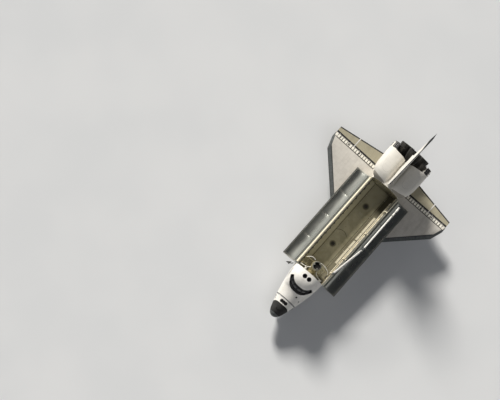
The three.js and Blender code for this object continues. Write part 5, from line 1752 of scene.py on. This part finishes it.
def sleeve(fore, aft, radius):
    """A tube whose cloth is drawn in at each seam."""
    total = aft - fore
    bays = round(total / 19)
    profile = [[0, 0], [radius - 0.6, 0]]
    for k in range(bays):
        a, b = total * k / bays, total * (k + 1) / bays
        profile += [[radius - 0.35, a + 0.3], [radius, a + 1.6], [radius, b - 1.6], [radius - 0.35, b - 0.3]]
    profile += [[radius - 0.6, total], [0, total]]
    return Shape().lathe(profile, spot(fore, 0, 0), AFT, 28)


def collars(shape, rows, count=32):
    """Raised rings round the arm: station, inner and outer radius, length and rounding."""
    for station, inner, outer, length, edge in rows:
        profile = [[inner, 0], [outer, edge], [outer, length - edge], [inner, length]]
        shape.lathe(profile, spot(station, 0, 0), AFT, count, True)


def arm_cradles():
    """The tube on the sill that rolls, with three cradles and the shoulder's foot."""
    cradles = Shape().tube([spot(s, 0, 0) for s in (671, 1262)], 2.25, 20)
    for s in steps(704, 1244, 18):
        cradles.lathe([[2.2, -0.8], [2.7, -0.6], [2.7, 0.6], [2.2, 0.8]], spot(s, 0, 0), FORE, 20, True)
    under = ARM_REACH - 6.4
    cheek = ((2.4, under - 2.4), (6, under - 2.4), (6.2, under + 0.6),
             (5.0, under - 0.2), (3.6, under - 1.4))
    for s in (800, 1010, 1195):
        cradles.box(span(s, 4.4), (-2.2, 2.2), (1, under - 3))
        cradles.box(span(s, 5), (-6, 6), (under - 4, under - 2.4))
        for sign in (-1, 1):
            cradles.bar(cheek, span(s, 4.6), sign)
            cradles.tube([spot(s, sign * 5, under - 4), spot(s, sign * 2.4, 5)], 0.7, 8)
    post = [[0, 0], [4.4, 0], [4.4, 5], [3.6, 6], [3.6, under - 8], [4.2, under - 7],
            [4.2, under - 1.6], [0, under - 1.6]]
    cradles.lathe(post, ARM_FOOT, UP, 28)
    put(cradles, "cradle_tube", stock("cream_cover"), "arm_cradles", ["arm_cradles"],
        matrix=CRADLE, soft=(0.2, 1))


def cargo_arm():
    cloth, grey, origin = arm_blanket(), stock("joint_grey"), Vector()
    arm_cradles()
    upper = sleeve(9, ARM_UPPER - 10, 6.35)
    put(upper, "arm_upper_sleeve", cloth, "arm_upper", ["arm_upper"], 40, SHOULDER)
    joints = Shape()
    shoulder = [[0, -5.4], [6.6, -5.4], [7.5, -4.6], [7.5, 4.6], [6.6, 5.4], [0, 5.4]]
    joints.lathe(shoulder, origin, TO_PORT, 36)
    collars(joints, ((8, 6.2, 7.1, 3, 0.4), (ARM_UPPER - 16, 6.2, 7.0, 3, 0.4)))
    for sign in (-1, 1):
        joints.loft([[spot(ARM_UPPER + s, sign * a, z)
                      for a, z in ((4.4, -h), (7.1, -h), (7.1, h), (4.4, h))]
                     for s, h in ((-11, 3.0), (-6, 3.4), (1, 3.4), (3.2, 2.2))])
    joints.tube([spot(ARM_UPPER, side, 0) for side in (-7.4, 7.4)], 1.5, 20)
    joints.block(spot(ARM_UPPER - 22, 0, 7.4), 0, (9, 5, 3))
    lens = [[0, 0], [1.3, 0], [1.3, 4], [1.0, 4.4], [0, 4.4]]
    joints.lathe(lens, spot(ARM_UPPER - 18, 0, 8.4), FORE, 20)
    put(joints, "arm_upper_joints", grey, "arm_upper", sharp=35, matrix=SHOULDER)

    lower = sleeve(10, ARM_LOWER - 2, 5.75)
    put(lower, "arm_lower_sleeve", cloth, "arm_lower", ["arm_lower"], 40, ELBOW)
    hub = Shape()
    elbow = [[1.7, -4.1], [5.2, -4.1], [5.6, -3.7], [5.6, 3.7], [5.2, 4.1], [1.7, 4.1]]
    hub.lathe(elbow, origin, TO_PORT, 32, True)
    hub.loft([[spot(s, y, z) for y, z in ((-w, -h), (w, -h), (w, h), (-w, h))]
              for s, w, h in ((3.5, 3.9, 4.3), (7, 4.0, 4.4), (11, 3.4, 3.8))])
    collars(hub, ((9.5, 5.2, 6.2, 3, 0.4), (ARM_LOWER - 4, 5.2, 6.2, 2.3, 0.3)))
    put(hub, "arm_elbow_hub", grey, "arm_lower", sharp=35, matrix=ELBOW)

    hand = Shape()
    shell = [[0, 0.1], [6.1, 0.1], [6.6, 0.7], [6.6, 17.3], [6.2, 18], [5, 20], [5, 30], [6.4, 32.4],
             [6.8, 34], [6.8, 52], [6.3, 52.4], [6.3, 53.6], [6.8, 54], [6.8, 64], [7.4, 67], [7.4, 67.8],
             [5.8, 67.8], [5.3, 66], [5.2, 56.2], [0, 56.2]]
    hand.lathe(shell, spot(ARM_LOWER, 0, 0), AFT, 48)
    hand.block(spot(ARM_LOWER + 44, 0, 7.6), 0, (8, 4, 2.4))
    put(hand, "arm_hand_shell", cloth, "arm_lower", ["arm_hand"], 30, ELBOW)
    bands = Shape()
    collars(bands, [(ARM_LOWER + d, r - 0.3, r + 0.25, 1.4, 0.1)
                    for d, r in ((3, 6.7), (14, 6.7), (24, 5.1), (36, 6.7), (60, 6.7))], 40)
    grip = [[0, 0], [5.1, 0], [5.1, 0.6], [1.4, 0.6], [1.1, 6], [0, 6]]
    bands.lathe(grip, spot(ARM_LOWER + 56.3, 0, 0), AFT, 32)
    put(bands, "arm_hand_bands", stock("nozzle_soot"), "arm_lower", sharp=40, matrix=ELBOW)


# Dish antenna

def dish():
    grey = stock("joint_grey")
    mast, head = spot(589, -93, 427), spot(547, -144, 442)
    out = Vector((42, -51, 0))
    aim = Vector((-51, -42, 0)).normalized()
    outer = [[18 * k / 12, 9 * (k / 12) ** 2] for k in range(13)]
    inner = [[r, d + 0.7] for r, d in reversed(outer)]
    bowl = Shape().lathe([*outer, [18.2, 9.3], *inner], head, aim, 64)
    put(bowl, "dish_bowl", stock("dish_back"), "dish_antenna", ["dish_antenna"], 40)

    boom = Shape()
    across = aim.cross(UP).normalized()
    feed = head + aim * 9.2
    boom.lathe([[0, 0], [1.6, 0], [2.2, 1.4], [1.2, 2.2], [0, 2.2]], feed, -aim, 20)
    for turn in (90, 210, 330):
        t = math.radians(turn)
        rim = head + aim * 6.2 + (across * math.cos(t) + UP * math.sin(t)) * 15
        boom.tube([rim, feed], 0.35, 8)
    boom.lathe([[0, -3.8], [3.4, -3.8], [3.4, -1], [2.8, 0], [2.8, 5], [3.4, 5.6], [0, 6]], mast, UP, 28)
    joint = mast + out * 0.66
    boom.tube([mast + UP * 3, mast + spot(-2, -24, 6), joint + UP * 8], 2.4, 16)
    boom.lathe([[0, 3], [4.2, 3], [4.4, 4], [4.4, 17], [4.2, 18], [0, 18]], joint, UP, 28)
    boom.tube([mast + out * 0.6 + UP * 15, head - aim * 0.6], [2.8, 2.0], 16)
    boom.lathe([[0, 0], [4.2, 0], [4.2, 5], [2.6, 6], [0, 6]], head - aim * 6, aim, 28)
    boom.block(joint + UP * 20, 130, (7, 6, 4))
    put(boom, "dish_boom", grey, "dish_antenna", sharp=40)

    foot = Shape()
    foot.box((584, 594), (-99, -90), (400.6, 402))
    foot.box((585, 593), (-98, -91), (402, 405.8))
    foot.lathe([[0, 403], [3, 403], [3, 421.8], [2.4, 422.9], [0, 422.9]], spot(589, -93, 0), UP, 28)
    for s in (586, 592):
        for y in (-97.2, -91.6):
            foot.lathe(drum(0.7, 1), spot(s, y, 405.8), UP, 6)
    put(foot, "dish_foot", grey, replaces=["dish_antenna_foot"], sharp=40)


# Landing gear

NOSE_STATION, NOSE_RADIUS, MAIN_RADIUS = 378, 16, 22.25
# Both wheels' feet stand on the floor, so the craft's pitch gives the nose axle's height
NOSE_AXLE = MAIN_AXLE[2] + ((MAIN_AXLE[0] - NOSE_STATION) * math.sin(PITCH)
                            - (MAIN_RADIUS - NOSE_RADIUS)) / math.cos(PITCH)


def wheel(tyre, rim, holes, centre, radius, width, hub):
    """A grooved tyre and its dished rim, about a line from side to side."""
    h = width / 2
    half = [[hub - 0.2, 0.84 * h], [hub + 0.6, 0.9 * h], [0.7 * radius, 1.0 * h], [0.86 * radius, 0.99 * h],
            [0.94 * radius, 0.84 * h], [0.98 * radius, 0.62 * h], [radius, 0.4 * h]]
    for groove in (0.33, 0.11):
        half += [[radius, (groove + 0.04) * h], [radius - 0.5, (groove + 0.03) * h],
                 [radius - 0.5, (groove - 0.03) * h], [radius, (groove - 0.04) * h]]
    face = [[0, 0.64 * h], [0.3 * hub, 0.64 * h], [0.34 * hub, 0.4 * h], [0.62 * hub, 0.34 * h],
            [0.82 * hub, 0.42 * h], [0.9 * hub, 0.8 * h], [hub + 0.2, 0.86 * h], [hub + 0.2, 0.7 * h],
            [hub - 0.4, 0.6 * h]]
    tyre.lathe(half + [[r, -d] for r, d in reversed(half)], centre, TO_PORT, 56, True)
    rim.lathe(face + [[r, -d] for r, d in reversed(face)], centre, TO_PORT, 48)
    for k in range(8):
        turn = 2 * math.pi * k / 8
        for sign in (-1, 1):
            for shape, size, depth, shift, reach, rise, count in ((holes, 0.11, 0.25, 0, 0.6, 0.345, 12),
                                                                  (rim, 0.045, 0.5, 0.39, 0.42, 0.37, 6)):
                way = Vector((math.cos(turn + shift), 0, math.sin(turn + shift)))
                start = centre + way * reach * hub + TO_PORT * (sign * rise * h)
                shape.lathe(drum(size * hub, depth), start, TO_PORT * sign, count)


def wheel_pair(name, station, side, axle, radius, width, pitch, hub):
    tyre, rim, holes = Shape(), Shape(), Shape()
    for middle in span(side, pitch):
        wheel(tyre, rim, holes, spot(station, middle, axle), radius, width, hub)
    rim.tube([spot(station, y, axle) for y in span(side, pitch + width / 2 + 1)], hub * 0.24, 28)
    put(tyre, f"{name}_tyres", stock("tyre_rubber"), name, [name], 40)
    put(rim, f"{name}_rims", stock("rim_metal"), name, sharp=35)
    put(holes, f"{name}_holes", stock("nozzle_soot"), name)


def strut(shape, foot, head, rows):
    """A stepped round leg between two places: each row is a share of its length and a radius."""
    axis = head - foot
    return shape.lathe([[r, share * axis.length] for share, r in rows], foot, axis, 28)


def cross_pin(shape, place, radius, half, count):
    """A round pin from side to side."""
    shape.lathe(drum(radius, half, -half), place, TO_PORT, count)


def links(shape, side, places, spread, radii):
    """A folding pair of links: each is two bars that draw together."""
    for (s0, z0), (s1, z1) in zip(places, places[1:]):
        for y in (-spread, spread):
            shape.tube([spot(s0, side + y, z0), spot(s1, side + y * 0.4, z1)], radii, 10)


def nose_leg():
    steel = stock("gear_steel")
    leg = Shape()
    strut(leg, spot(376.8, 0, 262), spot(374, 0, 317),
          [[0, 0], [0, 5.4], [0.06, 5.6], [0.08, 5.0], [0.4, 5.0], [0.44, 5.6], [0.5, 5.6],
           [0.54, 5.0], [0.9, 5.0], [0.95, 5.6], [1, 0]])
    leg.tube([spot(374, side, 314) for side in (-20.9, 20.9)], 2.9, 20)
    leg.tube([spot(376, 0, 273), spot(355, 0, 296)], [2.4, 2.0], 14)
    leg.tube([spot(355, 0, 296), spot(334, 0, 318)], [2.6, 2.2], 14)
    cross_pin(leg, spot(355, 0, 296), 2.6, 3.4, 20)
    for y in (-3.6, 3.6):
        leg.tube([spot(373.5, y, 268), spot(372, y, 290), spot(371, y, 310)], 0.5, 8)
    leg.lathe([[0, 0], [2.4, 0], [2.8, 1.2], [2.8, 2.4], [0, 2.8]], spot(371, 0, 279), FORE, 20)
    put(leg, "nose_leg_strut", steel, replaces=["nose_leg"], sharp=40)
    slider = Shape()
    strut(slider, spot(378, 0, NOSE_AXLE + 3), spot(376.8, 0, 261.9), [[0, 0], [0, 3.3], [1, 3.3], [1, 0]])
    put(slider, "nose_leg_piston", stock("oleo_chrome"), "nose_slider", ["nose_leg_slider"])
    fork = Shape()
    fork.lathe([[2.2, -5.2], [4.0, -5.2], [4.6, -4.6], [4.6, 4.6], [4.0, 5.2], [2.2, 5.2]],
               spot(NOSE_STATION, 0, NOSE_AXLE), TO_PORT, 32, True)
    links(fork, 0, ((381.5, NOSE_AXLE + 3), (387.5, 243), (381, 258)), 1.5, [1.0, 0.8])
    cross_pin(fork, spot(387.5, 0, 243), 1.1, 1.6, 16)
    put(fork, "nose_leg_links", steel, "nose_slider", sharp=40)
    wheel_pair("nose_wheels", NOSE_STATION, 0, NOSE_AXLE, NOSE_RADIUS, 8.8, 11, 8)


def main_leg(name, sign):
    station, side, axle = MAIN_AXLE
    y = sign * side
    leg = Shape()
    strut(leg, spot(1171, y, 232), spot(1170, y, 303),
          [[0, 0], [0, 6.6], [0.03, 7.2], [0.1, 7.2], [0.13, 6.6], [0.6, 6.6], [0.64, 7.2],
           [0.74, 7.2], [0.78, 6.6], [1, 6.6], [1, 0]])
    leg.lathe([[2.4, 0], [3.6, 0.4], [4, 1.2], [4, 26], [4, 51], [3.6, 52], [2.4, 52.6]],
              spot(1170, sign * 110.3, 298), (0, sign, 0), 24, True)
    leg.tube([spot(1169, y, 246), spot(1137, y, 275)], [3.0, 2.6], 14)
    leg.tube([spot(1137, y, 275), spot(1106, y, 304)], [3.2, 2.6], 14)
    cross_pin(leg, spot(1137, y, 275), 3.4, 4.4, 20)
    leg.lathe([[4.8, -8.4], [6.0, -8.4], [6.4, -7.8], [6.4, 7.8], [6.0, 8.4], [4.8, 8.4]],
              spot(station, y, axle), TO_PORT, 32, True)
    for t in span(y, 5):
        leg.tube([spot(1165, t, 234), spot(1163, t, 262), spot(1162, t, 292)], 0.7, 8)
    links(leg, y, ((1178, 193), (1188, 214), (1178, 233)), 2.2, [1.4, 1.1])
    cross_pin(leg, spot(1188, y, 214), 1.5, 2.4, 16)
    put(leg, f"main_leg_strut_{name}", stock("gear_steel"), replaces=[f"main_leg_{name}"], sharp=40)
    piston = Shape()
    strut(piston, spot(1172, y, 194), spot(1171, y, 233), [[0, 0], [0, 4.9], [1, 4.9], [1, 0]])
    put(piston, f"main_leg_piston_{name}", stock("oleo_chrome"))
    wheel_pair(f"main_wheels_{name}", station, y, axle, MAIN_RADIUS, 16, 18.5, 13)


def gear_doors(name, sign):
    """Ribs on the doors' inner faces, and the wells' frames and pipes."""
    green = stock("rib_green")
    ribs = Shape()
    for k in range(6):
        ribs.bar(((163.2, 280), (162.0, 280), (166.1, 226), (167.4, 226)), span(1050 + 26 * k, 1.2), sign)
    for k in range(5):
        ribs.bar(((20.9, 281), (20.0, 281), (23.2, 266), (24.1, 266)), span(310 + 19 * k, 0.8), sign)
    put(ribs, f"gear_door_ribs_{name}", green)
    repaint(black(True), f"nose_gear_door_{name}", f"main_gear_door_{name}")
    well = Shape()
    for k in range(7):
        s = 1046 + 23.5 * k
        well.box(span(s, 1.2), (111, 162), (303.6, 306.6), sign)
        well.box(span(s, 1.0), (110.2, 112.2), (282, 305), sign)
    for height, side in ((301, 120), (300, 128), (301.5, 150)):
        well.tube([spot(s, sign * side, height) for s in (1040, 1192)], 1.1, 10)
    for s in (308, 328, 348, 388):
        well.box(span(s, 0.8), (0.5, 20.6), (318.8, 321.6), sign)
        well.box(span(s, 0.8), (19.4, 20.8), (292, 320), sign)
    well.tube([spot(s, sign * 15, 316) for s in (302, 396)], 0.8, 10)
    put(well, f"wheel_well_{name}", green)


def landing_gear():
    nose_leg()
    for name, sign in SIDES:
        main_leg(name, sign)
        gear_doors(name, sign)


# Cabin inside

def window_glass():
    """Dark glass with a faint sight of the cabin."""
    paint = Paint("window_glass", "0d1013", 0.06, row=True)
    paint.material.name = "window_glass"
    paint.set("Transmission Weight", 0.35)
    paint.set("Coat Weight", 0.6)
    paint.gloss(14, 3, 0.04, 0.12)
    return paint.material


def cabin_inside():
    """Seats, consoles and screens under the windows."""
    repaint(stock("cabin_grey", True), "flight_deck")
    repaint(window_glass(), "windshield_glass", "roof_window_glass", "bay_window_glass")
    seats, screens = Shape(), Shape()
    for side in (-32, 32):
        seats.box((500, 514), span(side, 8), (409.2, 412))
        seats.box((511, 514), span(side, 8), (412, 440))
        seats.box((510, 513.6), span(side, 5), (441, 448))
    for side in (-48, -36, -12, 0, 12, 36, 48):
        screens.box((449.6, 450.6), span(side, 4.6), (406, 416))
    for side in (-44, -20, 20, 44):
        screens.box((555.2, 556), span(side, 6), (414, 432))
    put(seats, "seat_cushions", stock("seat_cloth"), soft=(1.2, 2))
    put(screens, "cabin_screens", stock("nozzle_soot"), soft=(0.4, 1))


nose_and_cabin()
window_trim()
cabin_inside()
bay_hull()
bay_lining()
bay_fittings()
sill_trim()
bay_doors()
wings()
engines()
aft_hull()
aft_wall()
pods()
fin()
body_flap()
docking()
cargo_arm()
dish()
landing_gear()
